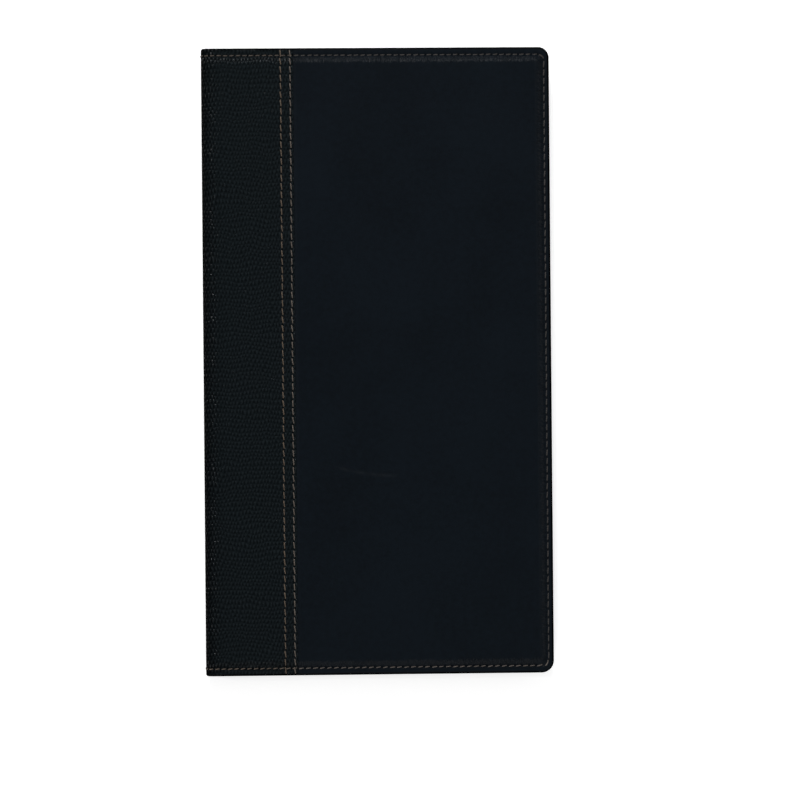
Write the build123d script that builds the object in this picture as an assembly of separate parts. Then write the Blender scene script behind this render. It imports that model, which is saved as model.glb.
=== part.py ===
from build123d import *
from math import atan2, cos, pi, radians, sin
import os

# Guest check presenter, closed and lying on its back cover.
# X runs from the spine (-X) to the free edge (+X), Y to the top edge, Z up.
# The origin is the middle of the closed presenter, on the surface it lies on.
# Lengths are millimetres.

# Outline of the closed presenter
WIDTH = 127.0               # spine to free edge
HEIGHT = 228.6              # top edge to bottom edge
FREE_CORNER = 5.0           # radius of the two corners away from the spine

# Layers of a cover, from the outside in
SKIN = 0.9                  # padded leatherette, smooth panel and grained band alike
FOAM = 1.2                  # soft padding sheet
BOARD = 1.3                 # stiff greyboard
LINER = 0.6                 # inside lining
HEM = 0.8                   # turned-in edge of the skin, pared thinner
HEM_TURN = 3.8              # how far the turned-in edge reaches in from the edge

# Sewn edge and pad
FLANGE = 3.3                # flat sewn edge around the pad
SLOPE = 3.2                 # soft slope from the sewn edge up to the pad
PAD_CORNER = 1.5            # radius of the pad's corners
BOARD_INSET = 5.2           # board and foam, in from the free, top and bottom edges
LINER_INSET = 1.2           # liner's edge, in from the cover's edge

# Spine
SPINE_ROUND = 3.4           # radius of each crease between spine and cover
SHOULDER_ROUND = 17.5       # radius of the easy curve from the crease up to the pad
SHOULDER_TURN = 15.0        # degrees that the easy curve turns
STIFFENER = 0.8             # card strip inside the spine
STIFFENER_GAP = 0.4         # strip's ends to the turned-in edge
GUTTER_ROUND = 1.2          # radius of the liner in the inside corners of the spine
FOAM_SETBACK = 4.0          # foam's edge, from the spine's outer face
BOARD_SETBACK = 8.0         # board's edge, from the spine's outer face

# Grained band and its double stitching
BAND_WIDTH = 33.5           # spine's outer face to the band's edge
LAP = 8.0                   # smooth panel's edge under the band
LAP_STEP = 1.5              # where the lapped edge joins the panel, past the band's edge
LAP_GAP = 0.1               # hairline between the band's edge and the panel
ROW_NEAR = 29.2             # near stitch row, from the spine's outer face
ROW_APART = 3.4             # from the near row to the far row

# Thread
THREAD = 0.5                # width of a stitched row
THREAD_DEPTH = 0.3          # thickness of a stitched row
THREAD_SUNK = 0.05          # row's top, below the face it is pulled into
THREAD_SIDE = 0.1           # room at each side of a row in its groove
SEAM_END = 2.5              # edge row, in from the top and bottom edges
SEAM_FREE = 1.75            # edge row, in from the free edge
SEAM_CORNER = 3.0           # radius of the edge row's corners

# Pockets inside
POCKET = 0.7                # receipt pocket's panel
POCKET_SPACE = 0.5          # its turned-under edge, which holds it off the liner
POCKET_TALL = 100.0         # bottom edge of the cover to the pocket's mouth
POCKET_SETBACK = 10.0       # pocket's edge, from the spine's outer face
POCKET_HEM = 4.0            # width of the turned-under edge
POCKET_SEAM = 2.5           # stitched row below the pocket's mouth
VINYL = 0.3                 # clear card pocket
CARD_WIDE = 85.6            # standard bank card
CARD_TALL = 54.0            # standard bank card
CARD_THICK = 0.76           # standard bank card
CARD_LOOSE = 0.14           # room over a card
CARD_SHOWS = 6.0            # how much of a card stands out of its pocket
CARD_SIDE = 1.2             # room at each side of a card
CARD_HEM = 3.0              # sewn edge of the card pocket
CARD_RAISED = 18.0          # card pocket's bottom edge, from the cover's bottom edge
VINYL_THREAD = 0.15         # thickness of the row pulled into the vinyl
CLOSED_GAP = 0.4            # between the two covers' pockets when closed

# Sizes that follow
COVER = SKIN + FOAM + BOARD + LINER
DROP = COVER - SKIN - HEM - LINER
CARD_SPACE = CARD_THICK + CARD_LOOSE
BACK_STACK = POCKET_SPACE + POCKET + CARD_SPACE + VINYL
FRONT_STACK = POCKET_SPACE + POCKET
THICKNESS = 2 * COVER + BACK_STACK + CLOSED_GAP + FRONT_STACK
X_SPINE = -WIDTH / 2
X_FREE = WIDTH / 2
Y_EDGE = HEIGHT / 2
Z_MIDDLE = THICKNESS / 2
X_BAND = X_SPINE + BAND_WIDTH
X_ROW_NEAR = X_SPINE + ROW_NEAR
X_ROW_FAR = X_ROW_NEAR + ROW_APART
PAD_INSET = FLANGE + SLOPE
SPINE_WALL = SKIN + STIFFENER + LINER
PAST = 20.0                 # how far cutting shapes run past the presenter

# The crease: two tangent arcs from the pad's flat face to the spine's flat face
shoulder = radians(SHOULDER_TURN)
X_PAD = X_SPINE + SHOULDER_ROUND * sin(shoulder) + SPINE_ROUND * (1 - sin(shoulder))
Z_SPINE_FLAT = SHOULDER_ROUND * (1 - cos(shoulder)) + SPINE_ROUND * cos(shoulder)
CREASE_LENGTH = SHOULDER_ROUND * shoulder + SPINE_ROUND * (pi / 2 - shoulder)

# The spine turns about an axis just outside the crease, placed so that the skin
# keeps its length from pad to spine when the crease is opened flat.
AXIS_SUM = (X_PAD - X_SPINE) + Z_SPINE_FLAT - CREASE_LENGTH
AXIS_STEP = Z_SPINE_FLAT - SPINE_ROUND
X_AXIS = X_SPINE + (AXIS_SUM - AXIS_STEP) / 2
Z_AXIS = (AXIS_SUM + AXIS_STEP) / 2
CREASE_CUT = Plane(origin=(X_AXIS, 0, Z_AXIS), x_dir=(0, 1, 0), z_dir=(-1, 0, 1))


def upright(edges, length):
    """Solid from edges drawn in X and Z, carried along Y to both sides."""
    return extrude(make_face(edges), amount=length / 2, dir=(0, 1, 0), both=True)


def point(x, z):
    """Point of a shape drawn in X and Z."""
    return (x, 0, z)


def block(x0, x1, y0, y1, z0, z1):
    """Box between two corners."""
    return Pos((x0 + x1) / 2, (y0 + y1) / 2, (z0 + z1) / 2) * Box(x1 - x0, y1 - y0, z1 - z0)


def flipped(solid):
    """The same piece on the other cover."""
    return mirror(solid, about=Plane.XY.offset(Z_MIDDLE))


def outline(end_inset, free_inset, corner, z0, z1):
    """Solid with the cover's outline, rounded at the free corners, open at the spine."""
    x0 = X_SPINE - PAST
    x1 = X_FREE - free_inset
    y1 = Y_EDGE - end_inset
    shape = block(x0, x1, -y1, y1, z0, z1)
    corners = shape.edges().filter_by(Axis.Z).group_by(Axis.X)[-1]
    return fillet(corners, corner)


def book(inset):
    """Lower half of the closed book without its sewn edge, every face moved in by inset."""

    def on_shoulder(turn):
        reach = SHOULDER_ROUND - inset
        return point(X_PAD - reach * sin(turn), SHOULDER_ROUND - reach * cos(turn))

    def on_crease(turn):
        reach = SPINE_ROUND - inset
        return point(X_SPINE + SPINE_ROUND - reach * sin(turn), Z_SPINE_FLAT - reach * cos(turn))

    easy = ThreePointArc(on_shoulder(0), on_shoulder(shoulder / 2), on_shoulder(shoulder))
    tight = ThreePointArc(on_crease(shoulder), on_crease((shoulder + pi / 2) / 2), on_crease(pi / 2))
    rest = Polyline(
        on_crease(pi / 2),
        point(X_SPINE + inset, Z_MIDDLE),
        point(X_FREE + PAST, Z_MIDDLE),
        point(X_FREE + PAST, inset),
        on_shoulder(0),
    )
    return upright([easy, tight, rest], HEIGHT + 2 * PAST)


def slope_section(inset):
    """What the sewn edge takes off the book, drawn in Y and Z outward from the pad's edge."""
    y0 = Y_EDGE - PAD_INSET
    y1 = y0 + SLOPE
    z0 = inset
    z1 = DROP + inset
    steep = 2 * atan2(DROP, SLOPE)
    ym = (y0 + y1) / 2 - inset * sin(steep)
    zm = DROP / 2 + inset * cos(steep)
    far = Y_EDGE + PAST
    rise = TangentArc((0, y0, z0), (0, ym, zm), tangent=(0, 1, 0))
    settle = TangentArc((0, y1, z1), (0, ym, zm), tangent=(0, -1, 0))
    flat = Polyline((0, y1, z1), (0, far, z1), (0, far, -PAST), (0, y0, -PAST), (0, y0, z0))
    return make_face([rise, settle, flat])


def sewn_edge(inset):
    """The sewn edge's slope carried round the top, free and bottom edges of the pad."""
    section = slope_section(inset)
    x_turn = X_FREE - PAD_INSET - PAD_CORNER
    y_turn = Y_EDGE - PAD_INSET - PAD_CORNER
    top = extrude(Pos(x_turn, 0, 0) * section, amount=WIDTH + PAST, dir=(-1, 0, 0))
    about = Axis((x_turn, y_turn, 0), (0, 0, 1))
    turn = revolve(Pos(x_turn, 0, 0) * section, axis=about, revolution_arc=-90)
    side_face = Pos(x_turn, y_turn, 0) * Rot(0, 0, -90) * Pos(0, -y_turn, 0) * section
    side = extrude(side_face, amount=y_turn, dir=(0, -1, 0))
    upper = top + turn + side
    return upper + mirror(upper, about=Plane.XZ)


def form(inset):
    """Lower half of the closed book, every outer face moved in by inset."""
    return book(inset) - sewn_edge(inset)


def cavity(grow):
    """Space between the liners, widened by grow, lower half."""
    x0 = X_SPINE + SPINE_WALL - grow
    z0 = COVER - grow
    r = GUTTER_ROUND + grow
    slant = r * (1 - cos(pi / 4))
    floor = Line(point(X_FREE + PAST, z0), point(x0 + r, z0))
    bend = ThreePointArc(point(x0 + r, z0), point(x0 + slant, z0 + slant), point(x0, z0 + r))
    rest = Polyline(
        point(x0, z0 + r),
        point(x0, Z_MIDDLE),
        point(X_FREE + PAST, Z_MIDDLE),
        point(X_FREE + PAST, z0),
    )
    return upright([floor, bend, rest], HEIGHT + 2 * PAST)


def cover_side(solid):
    """The part of a lower-half solid on the cover's side of the crease."""
    return split(solid, bisect_by=CREASE_CUT, keep=Keep.BOTTOM)


def spine_side(solid):
    """The part of a lower-half solid on the spine's side of the crease, made whole."""
    half = split(solid, bisect_by=CREASE_CUT, keep=Keep.TOP)
    return half + flipped(half)


def row_footprint(x, width):
    """Strip under one of the band's rows of stitches."""
    return block(x - width / 2, x + width / 2, -Y_EDGE, Y_EDGE, -PAST, Z_MIDDLE)


def edge_footprint(width):
    """Ring under the edge row of stitches, open at the spine."""
    side = width / 2
    outer = outline(SEAM_END - side, SEAM_FREE - side, SEAM_CORNER + side, -PAST, Z_MIDDLE)
    inner = outline(SEAM_END + side, SEAM_FREE + side, SEAM_CORNER - side, -PAST, Z_MIDDLE)
    return outer - inner


# Shapes shared by the pieces, all for the lower half
whole = outline(0, 0, FREE_CORNER, -PAST, Z_MIDDLE)
outer_form = form(0) & whole
skin_form = form(SKIN) & whole
sheet = outer_form - skin_form
hem_ring = whole - outline(HEM_TURN, HEM_TURN, FREE_CORNER - HEM_TURN, -PAST, Z_MIDDLE)
hem = (skin_form - cavity(LINER)) & hem_ring
lap_under = block(X_BAND - LAP, X_BAND + LAP_STEP, -Y_EDGE, Y_EDGE, -PAST, Z_MIDDLE)
lap = ((skin_form - form(2 * SKIN)) - cavity(LINER)) & lap_under

groove_width = THREAD + 2 * THREAD_SIDE
groove_layer = outer_form - form(THREAD_SUNK + THREAD_DEPTH)
thread_layer = (form(THREAD_SUNK) & whole) - form(THREAD_SUNK + THREAD_DEPTH)
row_grooves = row_footprint(X_ROW_NEAR, groove_width) + row_footprint(X_ROW_FAR, groove_width)
row_threads = row_footprint(X_ROW_NEAR, THREAD) + row_footprint(X_ROW_FAR, THREAD)
edge_groove = edge_footprint(groove_width) & groove_layer
edge_thread = (edge_footprint(THREAD) & thread_layer) - row_grooves


def panel_skin():
    """Smooth panel: sheet, turned-in edges and the edge lapped under the band."""
    ahead = block(X_BAND + LAP_GAP, X_FREE + PAST, -Y_EDGE, Y_EDGE, -PAST, Z_MIDDLE)
    turned = block(X_BAND - LAP, X_FREE + PAST, -Y_EDGE, Y_EDGE, -PAST, Z_MIDDLE)
    panel = (sheet & ahead) + (hem & turned) + lap
    return panel - edge_groove


def band_sheet():
    """Grained band over half the spine and the first third of a cover, before its crease is cut."""
    over = block(X_SPINE - PAST, X_BAND, -Y_EDGE, Y_EDGE, -PAST, Z_MIDDLE)
    turned = block(X_SPINE - PAST, X_BAND - LAP - LAP_GAP, -Y_EDGE, Y_EDGE, -PAST, Z_MIDDLE)
    band = (sheet & over) + (hem & turned)
    return band - edge_groove - (groove_layer & row_grooves)


def foam_sheet():
    """Padding between skin and board, thinner where the panel's edge laps under the band."""
    inside = outline(BOARD_INSET, BOARD_INSET, PAD_CORNER, SKIN, SKIN + FOAM)
    ahead = block(X_SPINE + FOAM_SETBACK, X_FREE, -Y_EDGE, Y_EDGE, 0, COVER)
    return (inside & ahead & skin_form) - lap


def cover_board():
    """Stiff board that keeps the cover flat."""
    inside = outline(BOARD_INSET, BOARD_INSET, PAD_CORNER, SKIN + FOAM, SKIN + FOAM + BOARD)
    ahead = block(X_SPINE + BOARD_SETBACK, X_FREE, -Y_EDGE, Y_EDGE, 0, COVER)
    return (inside & ahead & skin_form) - lap


def liner_sheet():
    """Lining of a cover and half the spine, before its crease is cut."""
    inside = outline(LINER_INSET, LINER_INSET, FREE_CORNER - LINER_INSET, -PAST, Z_MIDDLE)
    return (cavity(LINER) - cavity(0)) & inside


def pocket_outline(z0, z1):
    """Solid with the receipt pocket's outline."""
    inside = outline(LINER_INSET, LINER_INSET, FREE_CORNER - LINER_INSET, z0, z1)
    mouth = POCKET_TALL - Y_EDGE
    return inside & block(X_SPINE + POCKET_SETBACK, X_FREE, -Y_EDGE, mouth, z0, z1)


def pocket_row(width, z0, z1):
    """Stitched row along the pocket's mouth."""
    y = POCKET_TALL - Y_EDGE - POCKET_SEAM
    x0 = X_SPINE + POCKET_SETBACK
    return block(x0, X_FREE - LINER_INSET, y - width / 2, y + width / 2, z0, z1)


def receipt_pocket():
    """Flat front of the receipt pocket."""
    z0 = COVER + POCKET_SPACE
    z1 = z0 + POCKET
    groove = pocket_row(groove_width, z1 - THREAD_SUNK - THREAD_DEPTH, z1 + PAST)
    return pocket_outline(z0, z1) - groove


def pocket_thread():
    top = COVER + POCKET_SPACE + POCKET - THREAD_SUNK
    return pocket_row(THREAD, top - THREAD_DEPTH, top)


def pocket_hem():
    """The pocket's turned-under edge: one strip at each side and one along the bottom."""
    z0 = COVER
    z1 = COVER + POCKET_SPACE
    mouth = POCKET_TALL - Y_EDGE
    x0 = X_SPINE + POCKET_SETBACK
    x1 = X_FREE - LINER_INSET
    y0 = LINER_INSET - Y_EDGE
    area = pocket_outline(z0, z1)
    near = area & block(x0, x0 + POCKET_HEM, y0, mouth, z0, z1)
    far = area & block(x1 - POCKET_HEM, x1, y0, mouth, z0, z1)
    foot = area & block(x0 + POCKET_HEM, x1 - POCKET_HEM, y0, y0 + POCKET_HEM, z0, z1)
    return Compound([near.solid(), far.solid(), foot.solid()])


# Card pocket on the back cover's receipt pocket
CARD_X = (X_SPINE + POCKET_SETBACK + X_FREE - LINER_INSET) / 2
CARD_HALF = CARD_WIDE / 2 + CARD_SIDE + CARD_HEM
CARD_Y0 = CARD_RAISED - Y_EDGE
CARD_Y1 = CARD_Y0 + CARD_HEM + CARD_TALL - CARD_SHOWS
CARD_Z0 = COVER + POCKET_SPACE + POCKET
CARD_Z1 = CARD_Z0 + CARD_SPACE


def card_row(width, z0, z1):
    """Stitched row round the two sides and the foot of the card pocket."""
    mid = CARD_HEM / 2
    x0 = CARD_X - CARD_HALF + mid
    x1 = CARD_X + CARD_HALF - mid
    y0 = CARD_Y0 + mid
    side = width / 2
    near = block(x0 - side, x0 + side, y0 - side, CARD_Y1, z0, z1)
    far = block(x1 - side, x1 + side, y0 - side, CARD_Y1, z0, z1)
    foot = block(x0 - side, x1 + side, y0 - side, y0 + side, z0, z1)
    return near + far + foot


def card_window():
    """Clear front of the card pocket."""
    z1 = CARD_Z1 + VINYL
    sheet_piece = block(CARD_X - CARD_HALF, CARD_X + CARD_HALF, CARD_Y0, CARD_Y1, CARD_Z1, z1)
    return sheet_piece - card_row(groove_width, z1 - VINYL_THREAD - THREAD_SUNK, z1 + PAST)


def card_thread():
    top = CARD_Z1 + VINYL - THREAD_SUNK
    return card_row(THREAD, top - VINYL_THREAD, top)


def card_hem():
    """Strips that hold the clear front off the receipt pocket: two sides and the foot."""
    x0 = CARD_X - CARD_HALF
    x1 = CARD_X + CARD_HALF
    near = block(x0, x0 + CARD_HEM, CARD_Y0, CARD_Y1, CARD_Z0, CARD_Z1)
    far = block(x1 - CARD_HEM, x1, CARD_Y0, CARD_Y1, CARD_Z0, CARD_Z1)
    foot = block(x0 + CARD_HEM, x1 - CARD_HEM, CARD_Y0, CARD_Y0 + CARD_HEM, CARD_Z0, CARD_Z1)
    return Compound([near.solid(), far.solid(), foot.solid()])


def spine_stiffener():
    """Card strip between the band and the liner, on the spine's flat face."""
    x0 = X_SPINE + SKIN
    y1 = Y_EDGE - HEM_TURN - STIFFENER_GAP
    return block(x0, x0 + STIFFENER, -y1, y1, Z_SPINE_FLAT, THICKNESS - Z_SPINE_FLAT)


band = band_sheet()
liner = liner_sheet()
row_thread = thread_layer & row_threads

# Pieces that both covers have, as they lie on the back cover
cover_pieces = {
    "panel_skin": panel_skin(),
    "band": cover_side(band),
    "foam": foam_sheet(),
    "board": cover_board(),
    "liner": cover_side(liner),
    "receipt_pocket": receipt_pocket(),
    "pocket_hem": pocket_hem(),
    "edge_thread": cover_side(edge_thread),
    "band_thread": row_thread,
    "pocket_thread": pocket_thread(),
}

pieces = {}
for name, solid in cover_pieces.items():
    pieces["back_" + name] = solid
    pieces["front_" + name] = flipped(solid)

pieces["card_pocket_window"] = card_window()
pieces["card_pocket_hem"] = card_hem()
pieces["card_pocket_thread"] = card_thread()
pieces["spine_band"] = spine_side(band)
pieces["spine_liner"] = spine_side(liner)
pieces["spine_thread"] = spine_side(edge_thread)
pieces["spine_stiffener"] = spine_stiffener()

os.makedirs("parts", exist_ok=True)
for name, solid in pieces.items():
    export_step(solid, "parts/" + name + ".step")

print("closed size", WIDTH, HEIGHT, THICKNESS)
print("crease axes at x", round(X_AXIS, 4), "z", round(Z_AXIS, 4), "and", round(THICKNESS - Z_AXIS, 4))
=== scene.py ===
"""Dresses the guest check presenter: leatherette, lining, padding, stitching, stage and light.

Shapes are worked out on the back cover, as x, y and depth inward from the cover's outer
face, and placed on either cover. Lengths are metres. Texture maps are in millimetres.
"""

import bpy
import numpy as np
from bpy.props import FloatProperty, FloatVectorProperty, PointerProperty
from mathutils import Matrix, Vector


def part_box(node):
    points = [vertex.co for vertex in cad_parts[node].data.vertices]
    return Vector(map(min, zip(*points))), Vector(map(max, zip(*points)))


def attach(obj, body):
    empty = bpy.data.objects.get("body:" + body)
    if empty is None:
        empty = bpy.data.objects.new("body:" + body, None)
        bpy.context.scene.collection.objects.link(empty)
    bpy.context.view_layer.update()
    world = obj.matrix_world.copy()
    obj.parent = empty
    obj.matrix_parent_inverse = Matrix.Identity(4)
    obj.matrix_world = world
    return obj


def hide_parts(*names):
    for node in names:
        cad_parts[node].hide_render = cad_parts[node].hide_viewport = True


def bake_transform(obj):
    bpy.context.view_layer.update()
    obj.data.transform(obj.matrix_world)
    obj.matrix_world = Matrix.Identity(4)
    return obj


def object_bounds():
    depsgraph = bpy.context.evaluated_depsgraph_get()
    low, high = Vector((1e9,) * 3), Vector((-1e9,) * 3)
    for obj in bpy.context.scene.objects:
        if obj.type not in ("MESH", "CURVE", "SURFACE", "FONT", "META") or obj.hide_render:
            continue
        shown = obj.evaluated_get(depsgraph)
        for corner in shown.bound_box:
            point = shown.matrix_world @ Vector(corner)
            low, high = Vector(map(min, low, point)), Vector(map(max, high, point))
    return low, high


bl_info = {
    "name": "Guest check presenter",
    "version": (1, 0, 0),
    "blender": (4, 5, 0),
    "location": "3D View > Sidebar > Presenter",
    "description": "Leatherette, lining, pockets, stitching and stage for a guest check presenter",
    "category": "Object",
}

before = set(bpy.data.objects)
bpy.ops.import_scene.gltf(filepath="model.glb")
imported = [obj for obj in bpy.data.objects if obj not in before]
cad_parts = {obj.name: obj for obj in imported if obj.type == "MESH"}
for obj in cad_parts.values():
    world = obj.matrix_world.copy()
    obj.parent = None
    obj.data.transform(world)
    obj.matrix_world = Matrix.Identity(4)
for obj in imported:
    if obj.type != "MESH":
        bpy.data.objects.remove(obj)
LOW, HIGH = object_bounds()
X_SPINE, X_FREE, Y_EDGE, THICKNESS = LOW.x, HIGH.x, HIGH.y, HIGH.z - LOW.z
COVERS = ("back", "front")


# Sizes and colours


def length(name, description, millimetres):
    """A length that the user can change, shown in scene units."""
    return FloatProperty(
        name=name, description=description, default=millimetres / 1000, min=0.0, unit="LENGTH", precision=5
    )


def share(name, description, default, high=1.0):
    """A plain number from 0 to a highest value."""
    return FloatProperty(name=name, description=description, default=default, min=0.0, max=high)


def colour(name, description, rgb):
    """A colour of a finish."""
    return FloatVectorProperty(
        name=name, description=description, subtype="COLOR", size=3, min=0.0, max=1.0, default=rgb
    )


class CoverSizes(bpy.types.PropertyGroup):
    """Sizes of the leatherette cover, its sewn edge and its spine"""

    top_corner: length("Top corner", "Radius of the top corner away from the spine", 3.9)
    low_corner: length("Bottom corner", "Radius of the bottom corner away from the spine", 4.5)
    sheet: length("Sheet", "Thickness of the leatherette", 0.7)
    drop: length("Drop", "How far the sewn edge lies below the pad", 1.7)
    flange: length("Sewn edge", "Width of the flat sewn edge", 2.8)
    slope: length("Slope", "Width of the soft slope up to the pad", 2.6)
    fold: length("Fold radius", "Radius of the fold at the edge", 0.85)
    hem: length("Turned-in edge", "How far the folded edge reaches in", 3.8)
    band: length("Band", "Width of the grained band from the spine", 33.5)
    lap: length("Lap", "Panel's edge under the band", 8.0)
    groove: length("Band groove", "Width of the panel's dip beside the band", 1.2)
    crease_round: length("Crease radius", "Radius of the crease at the spine", 3.4)
    shoulder_round: length("Shoulder radius", "Radius of the easy curve up to the pad", 17.5)
    shoulder_turn: FloatProperty(
        name="Shoulder turn", description="Angle that the easy curve turns", default=np.radians(15.0), subtype="ANGLE"
    )
    depth: length("Cover depth", "Outer face to inside lining", 4.0)
    spine_wall: length("Spine wall", "Outer face to inside lining at the spine", 2.3)
    lining: length("Lining", "Thickness of the inside lining", 0.55)
    lining_inset: length("Lining inset", "Lining's edge, in from the cover's edge", 1.2)
    gutter: length("Gutter radius", "Radius of the lining in the spine's corners", 1.2)


class StitchSizes(bpy.types.PropertyGroup):
    """Sizes of the thread and of the stitched rows"""

    thread: length("Thread", "Thickness of the thread", 0.42)
    band_pitch: length("Band pitch", "Stitch length of the two band rows", 3.038)
    top_pitch: length("Top pitch", "Stitch length along the top edge", 2.4)
    free_pitch: length("Free pitch", "Stitch length along the free edge", 3.1)
    foot_pitch: length("Bottom pitch", "Stitch length along the bottom edge", 2.53)
    pocket_pitch: length("Pocket pitch", "Stitch length on the pockets", 2.8)
    end_inset: length("End inset", "Edge row, in from the top and bottom edges", 2.72)
    free_inset: length("Free inset", "Edge row, in from the free edge", 1.93)
    corner: length("Row corner", "Radius of the edge row's corners", 2.1)
    near_row: length("Near row", "First band row, from the spine", 28.9)
    row_apart: length("Row spacing", "From the first band row to the second", 3.5)
    pull: length("Pull", "How deep a row is pulled into the sheet", 0.12)


class PocketSizes(bpy.types.PropertyGroup):
    """Sizes of the receipt pockets and of the clear card pocket"""

    tall: length("Pocket height", "Bottom edge to the pocket's mouth", 100.0)
    setback: length("Setback", "Pocket's edge, from the spine", 10.0)
    panel: length("Pocket thickness", "Lining to the pocket's face", 1.2)
    hem: length("Pocket hem", "Width of the turned-under edge", 4.0)
    seam: length("Mouth row", "Stitched row below the pocket's mouth", 2.5)
    card_wide: length("Card pocket width", "Width of the card pocket", 94.0)
    card_tall: length("Card pocket height", "Height of the card pocket", 51.0)
    card_raised: length("Card pocket foot", "Card pocket's bottom, from the cover's bottom", 18.0)
    card_hem: length("Card pocket edge", "Width of its sewn edge", 3.0)
    card_space: length("Card space", "Room for a card", 0.9)
    vinyl: length("Vinyl", "Thickness of the clear sheet", 0.25)


class Finishes(bpy.types.PropertyGroup):
    """Colours of the leatherette, lining, thread and padding"""

    smooth: colour("Smooth leatherette", "Colour of the panels", (0.0024, 0.0048, 0.0078))
    grained: colour("Grained leatherette", "Colour of the band", (0.0037, 0.0055, 0.0065))
    lining: colour("Lining", "Colour inside", (0.0060, 0.0068, 0.0080))
    thread: colour("Thread", "Colour of the band rows", (0.104, 0.070, 0.042))
    worn_thread: colour("Bleached thread", "Colour of the palest rows", (0.080, 0.074, 0.070))
    padding: colour("Padding", "Colour of the foam", (0.22, 0.22, 0.23))
    board: colour("Board", "Colour of the greyboard", (0.30, 0.27, 0.22))


class StageSettings(bpy.types.PropertyGroup):
    """Camera and light"""

    distance: length("Camera distance", "Camera to the presenter", 1500.0)
    key: share("Key light", "Power of the key light in watts", 11.9, 200.0)
    fill: share("Fill light", "Power of the low fill light in watts", 4.6, 200.0)
    rim: share("Rim light", "Power of the small light on the spine's side in watts", 1.2, 200.0)
    room: share("Room light", "Strength of the room's even light", 0.245, 2.0)
    floor_glow: share("Floor glow", "Even white of the floor as the camera sees it", 0.6)


# Curves and fields


def smooth(t):
    """Smoothstep: 0 up to t 0, 1 from t 1, and 3 t^2 - 2 t^3 between."""
    t = np.clip(t, 0.0, 1.0)
    return t * t * (3.0 - 2.0 * t)


def bell(t):
    """Bell curve exp(-t^2): 1 at 0 and near 0 past 2."""
    return np.exp(-(t * t))


def waves(x, y, size, seed):
    """Soft unevenness from -1 to 1: the mean of eight sine waves in seeded directions, about size long."""
    rng = np.random.default_rng(seed)
    turn = rng.uniform(0, 2 * np.pi, 8)
    rate = 2 * np.pi / (size * rng.uniform(0.7, 1.4, 8))
    start = rng.uniform(0, 2 * np.pi, 8)
    ray = x[..., None] * np.cos(turn) + y[..., None] * np.sin(turn)
    return np.sin(ray * rate + start).mean(axis=-1)


def edge_fall(inset, c):
    """Depth of the outer face at an inset from the edge: a pillow's side, steepest by the sewn edge.

    It is the drop times (1 - t)^1.5, where t goes from 0 at the sewn edge to 1 on the pad.
    """
    t = np.clip((inset - c.flange) / c.slope, 0.0, 1.0)
    return c.drop * (1 - t) ** 1.5


def blended_depth(curve, fall):
    """The spine's curve and the sewn edge's fall as one smooth face: the fourth root of the sum of fourth powers."""
    return (curve**4 + fall**4) ** 0.25


def band_edge(c):
    return X_SPINE + c.band


def lap_dip(x, c):
    """How far the panel lies below the band's face: a shallow dip beside the band, and the sheet's thickness under it."""
    beside = smooth((band_edge(c) + c.groove - x) / c.groove)
    under = smooth((band_edge(c) - x) / 0.0006)
    return 0.00018 * beside + 0.00067 * under


def row_pull(v, s, c_width=0.00055):
    """Valley along a stitched row, at a distance v from it: the pull times a bell curve."""
    return s.pull * bell(v / c_width)


def counts(s, c):
    """Whole numbers of stitches on each stretch of the edge row: band, top, corner, free side, bottom."""
    start, end = band_edge(c), X_FREE - s.free_inset - s.corner
    side = 2 * (Y_EDGE - s.end_inset - s.corner)
    return {
        "band": 16,
        "top": round((end - start) / s.top_pitch),
        "corner": 1,
        "side": round(side / s.free_pitch),
        "foot": round((end - start) / s.foot_pitch),
    }


def edge_row(x, y, s, c):
    """Where a point lies by the edge row: stitches along it from the band's edge, and metres outside it.

    The row is a rectangle with rounded free corners, so the distance is that of a rounded
    box. Along the straights the count grows evenly with x or y, at a corner with the angle.
    """
    n = counts(s, c)
    xc = X_FREE - s.free_inset - s.corner
    yc = Y_EDGE - s.end_inset - s.corner
    dx, dy = x - xc, np.abs(y) - yc
    out = np.hypot(np.maximum(dx, 0), np.maximum(dy, 0)) + np.minimum(np.maximum(dx, dy), 0) - s.corner
    angle = np.arctan2(np.maximum(dx, 0), np.maximum(dy, 1e-9)) / (np.pi / 2)
    total = n["top"] + n["foot"] + n["side"] + 2 * n["corner"]
    straight = (np.minimum(x, xc) - band_edge(c)) / (xc - band_edge(c))
    above = n["top"] * straight + n["corner"] * angle
    below = total - n["foot"] * straight - n["corner"] * angle
    beside = n["top"] + n["corner"] + n["side"] * (yc - y) / (2 * yc)
    along = np.where((dy > 0) | (dy > dx), np.where(y > 0, above, below), beside)
    return along, out


def from_outline(x, y, radius):
    """Distance in from the closed presenter's top, bottom and free sides, round corners of a radius."""
    dx, dy = x - (X_FREE - radius), np.abs(y) - (Y_EDGE - radius)
    return radius - np.hypot(np.maximum(dx, 0), np.maximum(dy, 0)) - np.minimum(np.maximum(dx, dy), 0)


def folded_shade(inset):
    """Shade of the sheet by its fold: 0 at the outline and 1 from 1 mm in."""
    return smooth((inset - 0.0004) / 0.0006)


def crease_shade(x, deep):
    """Shade of the band by the spine's crease: dark at the crease, easing over the shoulder, gone lower on the spine's wall."""
    x = np.maximum(x - X_SPINE, 0)
    dark = 1 - (1 - 0.9 * np.exp(-((x / 0.0012) ** 1.5))) * (1 - 0.5 * np.exp(-((x / 0.0045) ** 2)))
    return 1 - dark * smooth((0.0054 - deep) / 0.002)


def stretched(x, y):
    """Mask of painted glints and shade on the band: bell curves 3.2 mm from the spine, uneven along y, and 4.3 mm in
    from the top end. It raises the scales' bumps, gloss and colour contrast there.
    """
    shoulder = bell((x - X_SPINE - 0.0032) / 0.0017) * (0.75 + 0.8 * waves(0.5 * x, y, 0.009, 17))
    return shoulder + 0.8 * bell((Y_EDGE - y - 0.0043) / 0.0009)


def band_count(y, s):
    """Stitches along a band row, so that an odd number of them fills it from edge to edge."""
    return y / s.band_pitch + 0.5


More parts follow.
